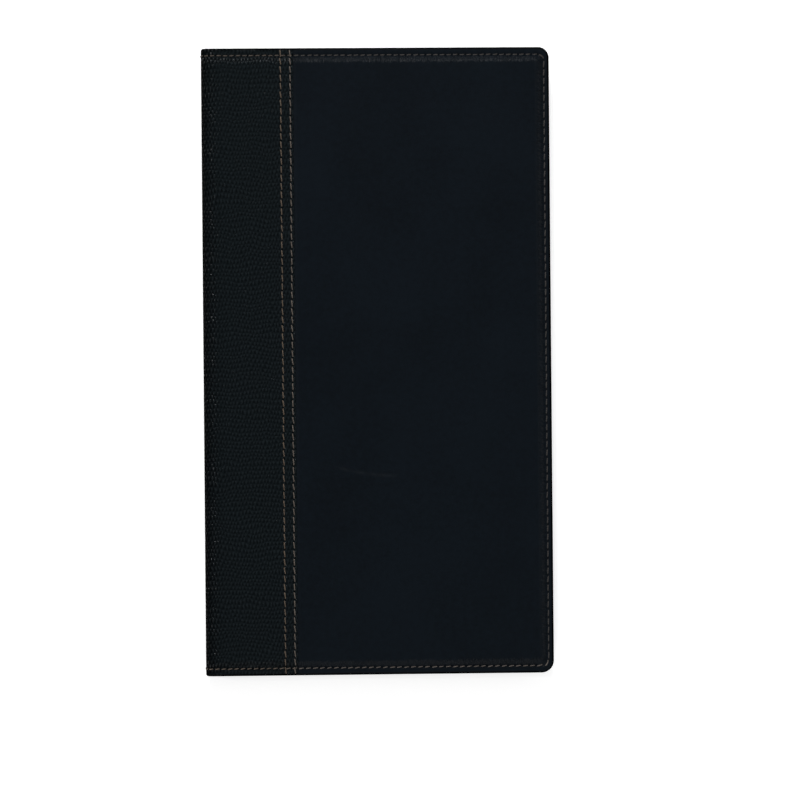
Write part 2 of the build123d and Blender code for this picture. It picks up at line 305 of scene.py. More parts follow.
def seam_map(along, out):
    """Texture map by a row: stitches along it, and millimetres outside it."""
    return np.stack([along, out * 1000], axis=-1)


# Meshes


def quads(rows, cols, first=0, ring=False):
    """Corner numbers of the faces of a grid of points, row by row. A ring joins the last row to the first."""
    number = np.arange(rows * cols).reshape(rows, cols) + first
    if ring:
        number = np.concatenate([number, number[:1]])
    face = np.stack([number[:-1, :-1], number[:-1, 1:], number[1:, 1:], number[1:, :-1]], axis=-1)
    return face.reshape(-1, 4)


def on_cover(cover, x, y, depth):
    """Points of a cover in the row frame: depth runs up from the floor on the back, down from the top on the front."""
    x, y, depth = np.broadcast_arrays(x, y, depth)
    return np.stack([x, y, THICKNESS - depth if cover == "front" else depth], axis=-1)


def faced(faces, outward_up, cover):
    """Faces turned to point away from the sheet. Grid faces with x as columns and y as rows point up."""
    up = outward_up if cover == "front" else not outward_up
    return faces if up else faces[:, ::-1]


def new_piece(name, points, faces, material, maps=None, marks=None, caps=()):
    """Makes a mesh object from points, four-cornered faces, caps, texture maps and point marks."""
    mesh = bpy.data.meshes.new(name)
    mesh.from_pydata(points.reshape(-1, 3).tolist(), [], faces.tolist() + [list(cap) for cap in caps])
    mesh.polygons.foreach_set("use_smooth", np.ones(len(mesh.polygons), bool))
    corner = np.empty(len(mesh.loops), np.int32)
    mesh.loops.foreach_get("vertex_index", corner)
    for map_name, values in (maps or {}).items():
        layer = mesh.uv_layers.new(name=map_name)
        layer.data.foreach_set("uv", values.reshape(-1, 2)[corner].astype(np.float32).ravel())
    for mark, values in (marks or {}).items():
        attribute = mesh.attributes.new(mark, "FLOAT", "POINT")
        attribute.data.foreach_set("value", np.asarray(values, np.float32).ravel())
    mesh.update()
    piece = bpy.data.objects.new(name, mesh)
    bpy.context.scene.collection.objects.link(piece)
    mesh.materials.append(material)
    return piece


def thicken(piece, thickness):
    """Gives a sheet its thickness, inward from the shown face."""
    wall = piece.modifiers.new("thickness", "SOLIDIFY")
    wall.thickness = thickness
    wall.offset = -1.0
    wall.use_quality_normals = True
    return piece


def round_rim(piece, radius):
    """Rounds the cut edges of a thickened sheet."""
    rim = piece.modifiers.new("rim", "BEVEL")
    rim.width = radius
    rim.segments = 2
    rim.limit_method = "ANGLE"
    rim.angle_limit = np.radians(50)
    return piece


def spread(*stretches):
    """Node places on joined stretches, each given as start, end and spacing, without double nodes."""
    parts = [np.linspace(a, b, max(2, int(np.ceil(abs(b - a) / step)) + 1)) for a, b, step in stretches]
    return np.concatenate([parts[0]] + [p[1:] for p in parts[1:]])


def wrapped_sheet(p_open, q_flat, inset, far, half, corners, reach):
    """A sheet wrapped round three edges of a flat board, open at the fourth.

    The middle is a plain grid. Round it lie rings, from reach inward of the edge, out to
    the edge, round the fold and back in. On the straights a ring keeps its inset. At a
    corner it turns on an arc whose radius shrinks evenly from the corner's own at the edge
    to none at reach, and a point's place along it is its smaller ring number over twice its
    larger one. Gives p and q in rows of q, and each point's ring number, 0 in the middle.
    """
    rings = len(inset)
    a = np.concatenate([np.zeros(len(p_open), int), np.arange(1, rings + 1)])[None, :]
    b = np.concatenate([np.arange(rings, 0, -1), np.zeros(len(q_flat), int), np.arange(1, rings + 1)])[:, None]
    p0 = np.concatenate([p_open, np.full(rings, far - reach)])[None, :]
    q0 = np.concatenate([np.full(rings, reach - half), q_flat, np.full(rings, half - reach)])[:, None]
    ring = np.maximum(a, b)
    d = np.concatenate([[reach], inset])[ring]
    radius = np.where(q0 < 0, corners[0], corners[1]) * (1 - d / reach)
    straight = reach - d - radius
    arc = radius * np.pi / 2
    part = np.where(b >= a, a / np.maximum(2 * ring, 1), 1 - b / np.maximum(2 * ring, 1))
    run = part * (2 * straight + arc)
    first = np.clip(run, 0, straight)
    angle = np.clip(run - straight, 0, arc) / np.maximum(radius, 1e-9)
    last = np.clip(run - straight - arc, 0, straight)
    p = p0 + np.where(ring > 0, first + radius * np.sin(angle), 0.0)
    q_out = (half - d) - radius * (1 - np.cos(angle)) - last
    q = np.where(b > 0, np.sign(q0) * q_out, q0 + 0 * p)
    return p, q, ring


def folded_rings(c_fold, hem, reach, fall, steps):
    """Insets and depths of the rings of a folded edge: inward slope, half-circle fold, turned-in edge."""
    outer = np.linspace(reach, c_fold, steps)[1:]
    turn = np.linspace(0, np.pi, 9)[1:]
    inner = np.linspace(c_fold, hem, 5)[1:]
    inset = np.concatenate([outer, c_fold * (1 - np.sin(turn)), inner])
    base = fall(np.array(c_fold))
    depth = np.concatenate([fall(outer), base + c_fold * (1 - np.cos(turn)), np.full(4, base + 2 * c_fold)])
    return inset, depth, len(outer)


# Shader graphs


class Graph:
    """Short calls for adding and joining the nodes of one shader tree."""

    def __init__(self, tree):
        self.tree = tree

    def node(self, kind, inputs=None, **settings):
        made = self.tree.nodes.new(kind)
        made.location = (190 * (len(self.tree.nodes) % 12), -240 * (len(self.tree.nodes) // 12))
        for key, value in settings.items():
            setattr(made, key, value)
        for key, value in (inputs or {}).items():
            if isinstance(value, bpy.types.NodeSocket):
                self.tree.links.new(value, made.inputs[key])
            else:
                made.inputs[key].default_value = value
        return made

    def math(self, operation, a, b=0.0, c=0.0):
        return self.node("ShaderNodeMath", {0: a, 1: b, 2: c}, operation=operation).outputs[0]

    def mix(self, amount, a, b):
        return self.node("ShaderNodeMix", {0: amount, 6: a, 7: b}, data_type="RGBA").outputs[2]

    def scaled(self, vector, scale):
        return self.node("ShaderNodeVectorMath", {0: vector, "Scale": scale}, operation="SCALE").outputs[0]

    def noise(self, vector, scale, detail=2.0, roughness=0.5):
        made = self.node("ShaderNodeTexNoise", {"Vector": vector, "Scale": scale, "Detail": detail, "Roughness": roughness})
        return made.outputs["Fac"]

    def bell(self, value, width):
        """exp(-(value / width)^2)"""
        over = self.math("DIVIDE", value, width)
        return self.math("EXPONENT", self.math("MULTIPLY", self.math("MULTIPLY", over, over), -1.0))

    def ramp(self, value, low, high, to_low=0.0, to_high=1.0):
        inputs = {"Value": value, "From Min": low, "From Max": high, "To Min": to_low, "To Max": to_high}
        return self.node("ShaderNodeMapRange", inputs, interpolation_type="SMOOTHSTEP").outputs[0]


def effect(name, build, inputs, outputs):
    """A shader node group, built once and used by several materials."""
    tree = bpy.data.node_groups.get(name)
    if tree is None:
        tree = bpy.data.node_groups.new(name, "ShaderNodeTree")
        for socket, kind, value in inputs:
            made = tree.interface.new_socket(socket, in_out="INPUT", socket_type=kind)
            if value is not None:
                made.default_value = value
        for socket in outputs:
            tree.interface.new_socket(socket, in_out="OUTPUT", socket_type="NodeSocketFloat")
        g = Graph(tree)
        entry = g.node("NodeGroupInput")
        leave = g.node("NodeGroupOutput")
        for socket, value in build(g, entry.outputs).items():
            tree.links.new(value, leave.inputs[socket])
    return tree


def placed(g, tree, **inputs):
    """The group as a node of a material, with its own values."""
    made = g.node("ShaderNodeGroup", node_tree=tree)
    for key, value in inputs.items():
        socket = made.inputs[key.replace("_", " ")]
        if isinstance(value, bpy.types.NodeSocket):
            g.tree.links.new(value, socket)
        else:
            socket.default_value = value
    return made.outputs


def leather_grain():
    """Fine pebbled grain: rounded cells with hairline creases, and finer pores between."""

    def build(g, given):
        place = g.scaled(given["Vector"], 1000.0)
        bent = g.noise(place, 0.5, 3.0)
        cell = g.node("ShaderNodeTexVoronoi", {"Vector": place, "Scale": given["Cells"]}, feature="SMOOTH_F1")
        pebble = g.math("SUBTRACT", 1.0, cell.outputs["Distance"])
        pores = g.noise(place, g.math("MULTIPLY", given["Cells"], 2.3), 3.0, 0.6)
        height = g.math("ADD", g.math("MULTIPLY", pebble, 0.6), g.math("MULTIPLY", pores, 0.4))
        return {"Height": height, "Tone": g.math("ADD", g.math("MULTIPLY", height, 0.5), g.math("MULTIPLY", bent, 0.5))}

    inputs = [("Vector", "NodeSocketVector", None), ("Cells", "NodeSocketFloat", 2.0)]
    return effect("leather_grain", build, inputs, ["Height", "Tone"])


def mottling():
    """Slow cloudy change of shade over the sheet, and faint short streaks from handling."""

    def build(g, given):
        place = g.scaled(given["Vector"], 1000.0)
        cloud = g.noise(place, g.math("DIVIDE", 1.0, given["Size"]), 3.0)
        stretched = g.node("ShaderNodeMapping", {"Vector": place, "Rotation": (0, 0, 0.7), "Scale": (0.02, 0.35, 0.2)})
        streak = g.ramp(g.noise(stretched.outputs[0], 1.6, 4.0, 0.65), 0.60, 0.78)
        return {"Cloud": cloud, "Streaks": streak}

    inputs = [("Vector", "NodeSocketVector", None), ("Size", "NodeSocketFloat", 30.0)]
    return effect("mottling", build, inputs, ["Cloud", "Streaks"])


def stitch_pull():
    """What a row of stitches does to the sheet: a channel, holes at the stitches' ends, puckers, and gathers inside it.

    The map's first value counts stitches and its second is millimetres across the row.
    """

    def build(g, given):
        split = g.node("ShaderNodeSeparateXYZ", {0: given["Map"]})
        along, across = split.outputs[0], split.outputs[1]
        phase = g.math("FRACT", along)
        to_hole = g.math("MULTIPLY", g.math("SUBTRACT", 0.5, g.math("ABSOLUTE", g.math("SUBTRACT", phase, 0.5))), given["Pitch"])
        hole = g.math("MULTIPLY", g.bell(to_hole, 0.30), g.bell(across, 0.26))
        channel = g.bell(across, 0.42)
        swing = g.math("COSINE", g.math("MULTIPLY", along, 2 * np.pi))
        uneven = g.noise(g.node("ShaderNodeCombineXYZ", {0: g.math("MULTIPLY", along, 0.8), 1: g.math("MULTIPLY", across, 0.15)}).outputs[0], 1.0, 1.0)
        pucker = g.math("MULTIPLY", g.math("MULTIPLY", swing, uneven), g.bell(across, given["Reach"]))
        lines = g.node("ShaderNodeCombineXYZ", {0: g.math("MULTIPLY", along, 4.2), 1: g.math("MULTIPLY", across, 0.3)}).outputs[0]
        inside = g.math("MULTIPLY", g.ramp(across, -0.7, -0.2, 1.0, 0.0), g.ramp(across, -3.6, -1.8))
        gather = g.math("MULTIPLY", g.math("SUBTRACT", g.noise(lines, 1.0, 2.0), 0.5), inside)
        height = g.math("MULTIPLY_ADD", channel, -0.05, g.math("MULTIPLY", gather, given["Gathers"]))
        height = g.math("ADD", height, g.math("MULTIPLY", hole, -0.22))
        height = g.math("ADD", height, g.math("MULTIPLY", pucker, -0.075))
        return {"Height": height, "Hole": hole, "Channel": channel}

    inputs = [
        ("Map", "NodeSocketVector", None),
        ("Pitch", "NodeSocketFloat", 2.6),
        ("Reach", "NodeSocketFloat", 1.6),
        ("Gathers", "NodeSocketFloat", 0.0),
    ]
    return effect("stitch_pull", build, inputs, ["Height", "Hole", "Channel"])


def edge_wear():
    """Rubbed corners of the closed presenter: nearness to its four corners, broken up by noise."""

    def build(g, given):
        place = g.scaled(given["Vector"], 1000.0)
        split = g.node("ShaderNodeSeparateXYZ", {0: place})
        from_x = g.math("SUBTRACT", X_FREE * 1000, g.math("ABSOLUTE", split.outputs[0]))
        from_y = g.math("SUBTRACT", Y_EDGE * 1000, g.math("ABSOLUTE", split.outputs[1]))
        both = g.math("ADD", g.math("MAXIMUM", from_x, 0.0), g.math("MAXIMUM", from_y, 0.0))
        corner = g.ramp(both, 2.0, 7.0, 1.0, 0.0)
        broken = g.ramp(g.noise(place, 0.8, 4.0, 0.65), 0.45, 0.7)
        return {"Wear": g.math("MULTIPLY", g.math("MULTIPLY", corner, 0.45), broken)}

    return effect("edge_wear", build, [("Vector", "NodeSocketVector", None)], ["Wear"])


def new_material(name):
    """An empty node material with its Principled shader and Object coordinates."""
    material = bpy.data.materials.new(name)
    material.use_nodes = True
    g = Graph(material.node_tree)
    shader = material.node_tree.nodes["Principled BSDF"]
    place = g.node("ShaderNodeTexCoord").outputs["Object"]
    return material, g, shader, place


def set_shader(shader, **values):
    """Plain values of the Principled shader, set on its own sockets."""
    for key, value in values.items():
        shader.inputs[key.replace("_", " ")].default_value = value


def raised(g, shader, height):
    """Joins a height in millimetres to the shader's normal."""
    bump = g.node("ShaderNodeBump", {"Height": height, "Distance": 0.001, "Strength": 1.0})
    g.tree.links.new(bump.outputs[0], shader.inputs["Normal"])


def rgba(c, factor=1.0):
    return (c[0] * factor, c[1] * factor, c[2] * factor, 1.0)


def edge_on_gloss_and_painted_shade(g):
    """Factor that is 1 face-on and falls to 0 where a face is seen edge-on: it cuts the gloss there, and it darkens the
    colour there as painted shade.
    """
    facing = g.node("ShaderNodeLayerWeight", {"Blend": 0.5}).outputs["Facing"]
    return g.ramp(facing, 0.25, 0.85, 1.0, 0.0)


def leatherette(name, tint, cells, grain_depth, rough, specular, outer=False):
    """Smooth leatherette with fine grain, cloudy tone, stitch holes and puckers, and on the outside rubs. The stitch
    holes, and on the outside the folded edges and faces seen edge-on, are darkened with painted shade.
    """
    material, g, shader, place = new_material(name)
    grain = placed(g, leather_grain(), Vector=place, Cells=cells)
    cloud = placed(g, mottling(), Vector=place, Size=26.0)
    tone = g.math("MULTIPLY_ADD", cloud["Cloud"], 0.35, g.math("MULTIPLY", grain["Tone"], 0.65))
    shade = g.mix(g.ramp(tone, 0.36, 0.64), rgba(tint, 0.80), rgba(tint, 1.20))
    pull = placed(g, stitch_pull(), Map=g.node("ShaderNodeUVMap", uv_map="seam").outputs[0], Gathers=0.8 if outer else 0.1)
    height = g.math("MULTIPLY_ADD", grain["Height"], grain_depth, pull["Height"])
    # Painted shade: the stitch holes are darkened.
    shade = g.mix(g.math("MULTIPLY", pull["Hole"], 0.75), shade, rgba(tint, 0.15))
    if outer:
        wear = placed(g, edge_wear(), Vector=place)
        light = g.math("ADD", g.math("MULTIPLY", wear["Wear"], 0.35), scuff(g, place))
        shade = g.mix(light, shade, rgba([t + 0.02 for t in tint], 1.6))
        # Painted shade: the 'shade' mark darkens the colour along the folded edges, and more where a face is seen
        # edge-on; the gloss is cut there too.
        fold = g.node("ShaderNodeAttribute", attribute_name="shade").outputs["Fac"]
        edge_on = edge_on_gloss_and_painted_shade(g)
        shade = g.mix(g.math("MULTIPLY", fold, g.math("MULTIPLY_ADD", edge_on, 0.6, 0.4)), (0.0, 0.0, 0.0, 1.0), shade)
        sheen = g.math("MULTIPLY", g.math("MULTIPLY", fold, specular), edge_on)
        g.tree.links.new(sheen, shader.inputs["Specular IOR Level"])
    else:
        set_shader(shader, Specular_IOR_Level=specular)
    g.tree.links.new(shade, shader.inputs["Base Color"])
    gloss = g.math("MULTIPLY_ADD", cloud["Streaks"], -0.05, g.math("MULTIPLY_ADD", tone, 0.12, rough - 0.06))
    g.tree.links.new(gloss, shader.inputs["Roughness"])
    raised(g, shader, height)
    return material


def scuff(g, place):
    """A faint rub on the front panel: half of a thin parabola in x and y, faded at its ends and broken by noise."""
    spot = g.scaled(place, 1000.0)
    split = g.node("ShaderNodeSeparateXYZ", {0: spot})
    x, y = split.outputs[0], split.outputs[1]
    off = g.math("ADD", x, -7.2)
    curve = g.math("MULTIPLY_ADD", g.math("MULTIPLY", off, off), 0.0065, -41.8)
    line = g.bell(g.math("SUBTRACT", y, curve), 0.6)
    ends = g.math("MULTIPLY", g.ramp(x, -16.5, -12.0), g.ramp(x, 4.5, 8.0, 1.0, 0.0))
    broken = g.ramp(g.noise(spot, 0.3), 0.35, 0.6, 0.04, 0.11)
    top = g.ramp(split.outputs[2], 6.0, 9.0)
    return g.math("MULTIPLY", g.math("MULTIPLY", g.math("MULTIPLY", line, ends), top), broken)


def lizard_leatherette(name, tint):
    """Grained leatherette: small round scales in staggered rows, with dark pits between them, the colour lighter on the
    scales and darker in the pits as painted light and shade.

    The sheet's own map, in millimetres, is bent by slow noise so that the rows wave. The
    scales are cos(2 pi x / 1.27 - pi y / 1.62) and, weaker, the same with the sum, the rows
    are sin(2 pi y / 1.62), and slow noise makes their height uneven. Over the shoulder and
    by the top end a mark raises the scales' bumps, gloss and colour contrast, which paints glints and shade there.
    """
    material, g, shader, _ = new_material(name)
    cut = g.node("ShaderNodeUVMap", uv_map="cut").outputs[0]
    drift = g.node("ShaderNodeTexNoise", {"Vector": cut, "Scale": 0.085, "Detail": 2.0}).outputs["Color"]
    drift_x, drift_y = (g.node("ShaderNodeSeparateXYZ", {0: drift}).outputs[i] for i in (0, 1))
    wobble = g.node("ShaderNodeTexNoise", {"Vector": cut, "Scale": 0.42, "Detail": 1.0}).outputs["Color"]
    wobble_x, wobble_y = (g.node("ShaderNodeSeparateXYZ", {0: wobble}).outputs[i] for i in (0, 1))
    at = g.node("ShaderNodeSeparateXYZ", {0: cut})
    across = g.math("ADD", at.outputs[0], g.math("MULTIPLY_ADD", drift_x, 2.6, g.math("MULTIPLY", wobble_x, 1.0)))
    upward = g.math("ADD", at.outputs[1], g.math("MULTIPLY_ADD", drift_y, 5.5, g.math("MULTIPLY", wobble_y, 1.0)))
    row = g.math("MULTIPLY", upward, np.pi / 1.62)
    column = g.math("MULTIPLY", across, 2 * np.pi / 1.27)
    leaning = g.math("COSINE", g.math("SUBTRACT", column, row))
    crossing = g.math("COSINE", g.math("ADD", column, row))
    ridges = g.math("SINE", g.math("MULTIPLY", row, 2.0))
    # Painted glints and shade: this mark raises the scales' colour contrast, bumps and gloss over the shoulder and by
    # the top end.
    stretch_and_painted_glint = g.node("ShaderNodeAttribute", attribute_name="stretch_and_painted_glint").outputs["Fac"]
    crossing = g.math("MULTIPLY", crossing, g.math("MULTIPLY_ADD", stretch_and_painted_glint, 0.10, 0.17))
    lattice = g.math("MULTIPLY_ADD", leaning, 0.24, g.math("MULTIPLY_ADD", ridges, 0.18, crossing))
    uneven = g.math("MULTIPLY_ADD", g.noise(cut, 0.75, 2.0), 2.2, -0.2)
    scale_height = g.math("MULTIPLY_ADD", lattice, g.math("MULTIPLY", uneven, g.math("MULTIPLY_ADD", stretch_and_painted_glint, 1.1, 1.0)), 0.5)
    spot = g.scaled(cut, 0.001)
    grain = placed(g, leather_grain(), Vector=spot, Cells=3.2)
    cloud = placed(g, mottling(), Vector=spot, Size=18.0)
    fleck = g.math("MULTIPLY_ADD", g.noise(cut, 1.7, 1.0), 1.3, -0.65)
    # Painted light and shade: the colour is lighter on the scales and darker in the pits.
    lit = g.math("POWER", g.math("MAXIMUM", g.math("ADD", scale_height, fleck), 0.0), 1.4)
    shade = g.mix(lit, rgba(tint, 0.75), rgba(tint, 2.6))
    shade = g.mix(g.math("MULTIPLY", cloud["Cloud"], 0.3), shade, rgba(tint, 0.8))
    height = g.math("MULTIPLY_ADD", scale_height, 0.13, g.math("MULTIPLY", grain["Height"], 0.012))
    for seam, gathers in (("seam", 0.0), ("ends", 1.1)):
        pull = placed(g, stitch_pull(), Map=g.node("ShaderNodeUVMap", uv_map=seam).outputs[0], Gathers=gathers)
        height = g.math("ADD", height, pull["Height"])
        # Painted shade: the stitch holes are darkened.
        shade = g.mix(g.math("MULTIPLY", pull["Hole"], 0.7), shade, rgba(tint, 0.2))
    # Painted shade: the 'shade' mark darkens the colour at the folded ends and by the spine's crease, and more where a
    # face is seen edge-on; the gloss is cut there too.
    fold = g.node("ShaderNodeAttribute", attribute_name="shade").outputs["Fac"]
    edge_on = edge_on_gloss_and_painted_shade(g)
    shade = g.mix(g.math("MULTIPLY", fold, g.math("MULTIPLY_ADD", edge_on, 0.9, 0.1)), (0.0, 0.0, 0.0, 1.0), shade)
    g.tree.links.new(shade, shader.inputs["Base Color"])
    gloss = g.math("MULTIPLY_ADD", scale_height, -0.28, g.math("MULTIPLY_ADD", cloud["Cloud"], 0.2, 0.34))
    g.tree.links.new(gloss, shader.inputs["Roughness"])
    sheen = g.math("MULTIPLY", g.ramp(scale_height, 0.3, 0.9, 0.02, 0.12), g.math("MULTIPLY", fold, edge_on))
    glint = g.math("MULTIPLY", g.ramp(scale_height, 0.62, 1.1, 0.0, 0.18), stretch_and_painted_glint)
    sheen = g.math("MULTIPLY_ADD", glint, edge_on, sheen)
    g.tree.links.new(sheen, shader.inputs["Specular IOR Level"])
    raised(g, shader, height)
    return material


def thread_finish(name, tint, pale):
    """Two-ply thread: slanted light and dark lay, the dark lay painted shade in the twist's hollows, fuzz and a soft
    sheen. Its marks say how pale a row is and how bright it is painted, which paints light and shade row by row.
    """
    material, g, shader, place = new_material(name)
    lay = g.node("ShaderNodeSeparateXYZ", {0: g.node("ShaderNodeUVMap", uv_map="lay").outputs[0]})
    twist = g.math("SINE", g.math("MULTIPLY_ADD", lay.outputs[0], 9.0, g.math("MULTIPLY", lay.outputs[1], 4 * np.pi)))
    fibre = g.noise(g.scaled(place, 1000.0), 7.0, 3.0, 0.6)
    paleness = g.node("ShaderNodeAttribute", attribute_name="pale").outputs["Fac"]
    painted_row_light_mark = g.node("ShaderNodeAttribute", attribute_name="painted_row_light").outputs["Fac"]
    shade = g.mix(paleness, rgba(tint), rgba(pale))
    # Painted shade: the colour is darker in the twist's hollows between the plies.
    shade = g.mix(g.ramp(twist, -1.0, 0.1, 0.5, 0.0), shade, (0.016, 0.009, 0.006, 1.0))
    shade = g.mix(g.ramp(fibre, 0.45, 0.75, 0.0, 0.3), shade, rgba(tint, 1.7))
    # Painted light and shade: each row's colour is scaled by its own painted brightness.
    shade = g.scaled(shade, painted_row_light_mark)
    g.tree.links.new(shade, shader.inputs["Base Color"])
    height = g.math("MULTIPLY_ADD", twist, 0.03, g.math("MULTIPLY", fibre, 0.02))
    set_shader(shader, Roughness=0.55, Specular_IOR_Level=0.3, Sheen_Weight=0.15, Sheen_Roughness=0.5)
    raised(g, shader, height)
    return material


def foam_finish(name, tint):
    """Open-cell foam: pale walls between small cells, the cells darkened with painted shade."""
    material, g, shader, place = new_material(name)
    cell = g.node("ShaderNodeTexVoronoi", {"Vector": g.scaled(place, 1000.0), "Scale": 2.4}, feature="DISTANCE_TO_EDGE")
    wall = g.ramp(cell.outputs["Distance"], 0.02, 0.16, 1.0, 0.0)
    # Painted shade: the colour is darker inside the cells.
    g.tree.links.new(g.mix(wall, rgba(tint, 0.55), rgba(tint, 1.2)), shader.inputs["Base Color"])
    set_shader(shader, Roughness=0.95, Specular_IOR_Level=0.2)
    raised(g, shader, g.math("MULTIPLY", wall, 0.08))
    return material


def board_finish(name, tint):
    """Greyboard: pulp flecks, pale fibres and a dull face."""
    material, g, shader, place = new_material(name)
    spot = g.scaled(place, 1000.0)
    fleck = g.ramp(g.noise(spot, 3.0, 4.0, 0.7), 0.58, 0.7)
    cloud = placed(g, mottling(), Vector=place, Size=9.0)
    shade = g.mix(cloud["Cloud"], rgba(tint, 0.85), rgba(tint, 1.12))
    g.tree.links.new(g.mix(g.math("MULTIPLY", fleck, 0.6), shade, rgba(tint, 0.4)), shader.inputs["Base Color"])
    set_shader(shader, Roughness=0.9, Specular_IOR_Level=0.2)
    raised(g, shader, g.math("MULTIPLY", g.noise(spot, 5.0, 3.0), 0.02))
    return material


def vinyl_finish(name):
    """Clear vinyl with faint ripples, haze in its scratches and a soft gloss. Its mark says where its edges are: there
    the colour is darkened with painted shade over the bright line of light through the edge, and the gloss is dull.
    """
    material, g, shader, place = new_material(name)
    spot = g.scaled(place, 1000.0)
    cloud = placed(g, mottling(), Vector=place, Size=14.0)
    scratch = g.math("MULTIPLY", cloud["Streaks"], 0.25)
    shade = g.mix(scratch, (0.93, 0.95, 0.96, 1.0), (0.8, 0.82, 0.84, 1.0))
    rim = g.node("ShaderNodeAttribute", attribute_name="rim").outputs["Fac"]
    # Painted shade: the clear colour is darkened along the edges and the mouth.
    g.tree.links.new(g.mix(rim, shade, (0.12, 0.13, 0.14, 1.0)), shader.inputs["Base Color"])
    rough = g.math("MULTIPLY_ADD", cloud["Streaks"], 0.2, 0.07)
    g.tree.links.new(g.math("MULTIPLY_ADD", rim, 0.5, rough), shader.inputs["Roughness"])
    g.tree.links.new(g.math("MULTIPLY_ADD", rim, -0.42, 0.5), shader.inputs["Specular IOR Level"])
    set_shader(shader, Transmission_Weight=1.0, IOR=1.45)
    raised(g, shader, g.math("MULTIPLY", g.noise(spot, 0.12, 2.0), 0.25))
    return material


def finish(kind):
    """The named finish, made on first use. The frame's own materials have the slots' names, so these add a word."""
    made = bpy.data.materials.get(kind + "_finish")
    f = bpy.context.scene.presenter_finishes
    name = kind + "_finish"
    if made is None:
        if kind == "smooth_leatherette":
            made = leatherette(name, f.smooth, 2.1, 0.02, 0.40, 0.10, outer=True)
        elif kind == "grained_leatherette":
            made = lizard_leatherette(name, f.grained)
        elif kind == "lining":
            made = leatherette(name, f.lining, 1.5, 0.02, 0.66, 0.15)
        elif kind == "thread":
            made = thread_finish(name, f.thread, f.worn_thread)
        elif kind == "padding":
            made = foam_finish(name, f.padding)
        elif kind == "greyboard":
            made = board_finish(name, f.board)
        else:
            made = vinyl_finish(name)
    return made


# Pieces


def across_crease(piece):
    """Bakes a piece's placement into its points."""
    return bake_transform(piece)


def panel(cover, c, s):
    """Smooth panel: a sheet wrapped round the top, free and bottom edges, its inner edge lapped under the band."""
    reach = 0.008
    edge = band_edge(c)
    inset, depth, _ = folded_rings(c.fold, c.hem, reach, lambda d: edge_fall(d, c), 21)
    x_open = spread(
        (edge - c.lap, edge - 0.001, 0.0035), (edge - 0.001, edge + 0.0016, 0.0002), (edge + 0.0016, X_FREE - reach, 0.00088)
    )
    y_flat = spread((reach - Y_EDGE, Y_EDGE - reach, 0.00088))
    x, y, ring = wrapped_sheet(x_open, y_flat, inset, X_FREE, Y_EDGE, (c.low_corner, c.top_corner), reach)
    deep = np.concatenate([[0.0], depth])[ring]
    along, out = edge_row(x, y, s, c)
    outer = deep <= c.drop + 1e-9
    deep = deep + np.where(outer, row_pull(out, s), 0)
    inside = np.minimum(np.minimum(Y_EDGE - np.abs(y), X_FREE - x) / reach, 1.0)
    deep = deep + np.where(outer, 0.00006 * waves(x, y, 0.045, 3) * smooth(inside), 0)
    tuck = smooth((edge - x) / 0.0006)
    past_flange = smooth((deep - c.drop) / 0.0004)
    deep = deep + lap_dip(x, c) * (1 - past_flange)
    deep = deep + tuck * past_flange * (c.drop + c.fold - deep)
    y = np.sign(y) * (np.abs(y) - 0.0008 * tuck * smooth((deep - 0.001) / 0.0007))
    shade = folded_shade(from_outline(x, y, c.top_corner))
    points = on_cover(cover, x, y, deep)
    faces = faced(quads(*x.shape), True, cover)
    piece = new_piece(cover + "_panel", points, faces, finish("smooth_leatherette"), {"seam": seam_map(along, out)}, {"shade": shade})
    thicken(piece, c.sheet)
    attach(piece, cover + "_cover")
    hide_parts(cover + "_panel_skin")
    return piece


def spine_lines(c):
    """Outer face and turned-in face of the band, as seen from its end, from the pad to mid-spine.

    The outer face runs flat, then round the easy arc, the tight arc and up the spine. The
    turned-in face keeps the fold's two radii inside it, round its own corner arc. Both have
    the same number of points, matched one to one.
    """
    turn, easy_r, tight_r = c.shoulder_turn, c.shoulder_round, c.crease_round
    x_pad = X_SPINE + easy_r * np.sin(turn) + tight_r * (1 - np.sin(turn))
    z_flat = easy_r * (1 - np.cos(turn)) + tight_r * np.cos(turn)
    easy = np.linspace(0, turn, 10)[1:]
    tight = np.linspace(turn, np.pi / 2, 15)[1:]
    wall = np.linspace(z_flat, THICKNESS / 2, 6)[1:]
    x = np.concatenate([x_pad - easy_r * np.sin(easy), X_SPINE + tight_r * (1 - np.sin(tight)), np.full(5, X_SPINE)])
    deep = np.concatenate([easy_r * (1 - np.cos(easy)), z_flat - tight_r * np.cos(tight), wall])
    inner_r = c.gutter + 0.0006
    x_wall = X_SPINE + 2 * c.fold
    z_in = c.drop + 2 * c.fold
    x_in = x_wall + inner_r
    bend = (tight - turn) / (np.pi / 2 - turn) * np.pi / 2
    rise = np.linspace(z_in + inner_r, THICKNESS / 2, 6)[1:]
    x2 = np.concatenate([x_pad + (x_in - x_pad) * easy / turn, x_in - inner_r * np.sin(bend), np.full(5, x_wall)])
    deep2 = np.concatenate([np.full(9, z_in), z_in + inner_r * (1 - np.cos(bend)), rise])
    return x_pad, x, deep, x2, deep2


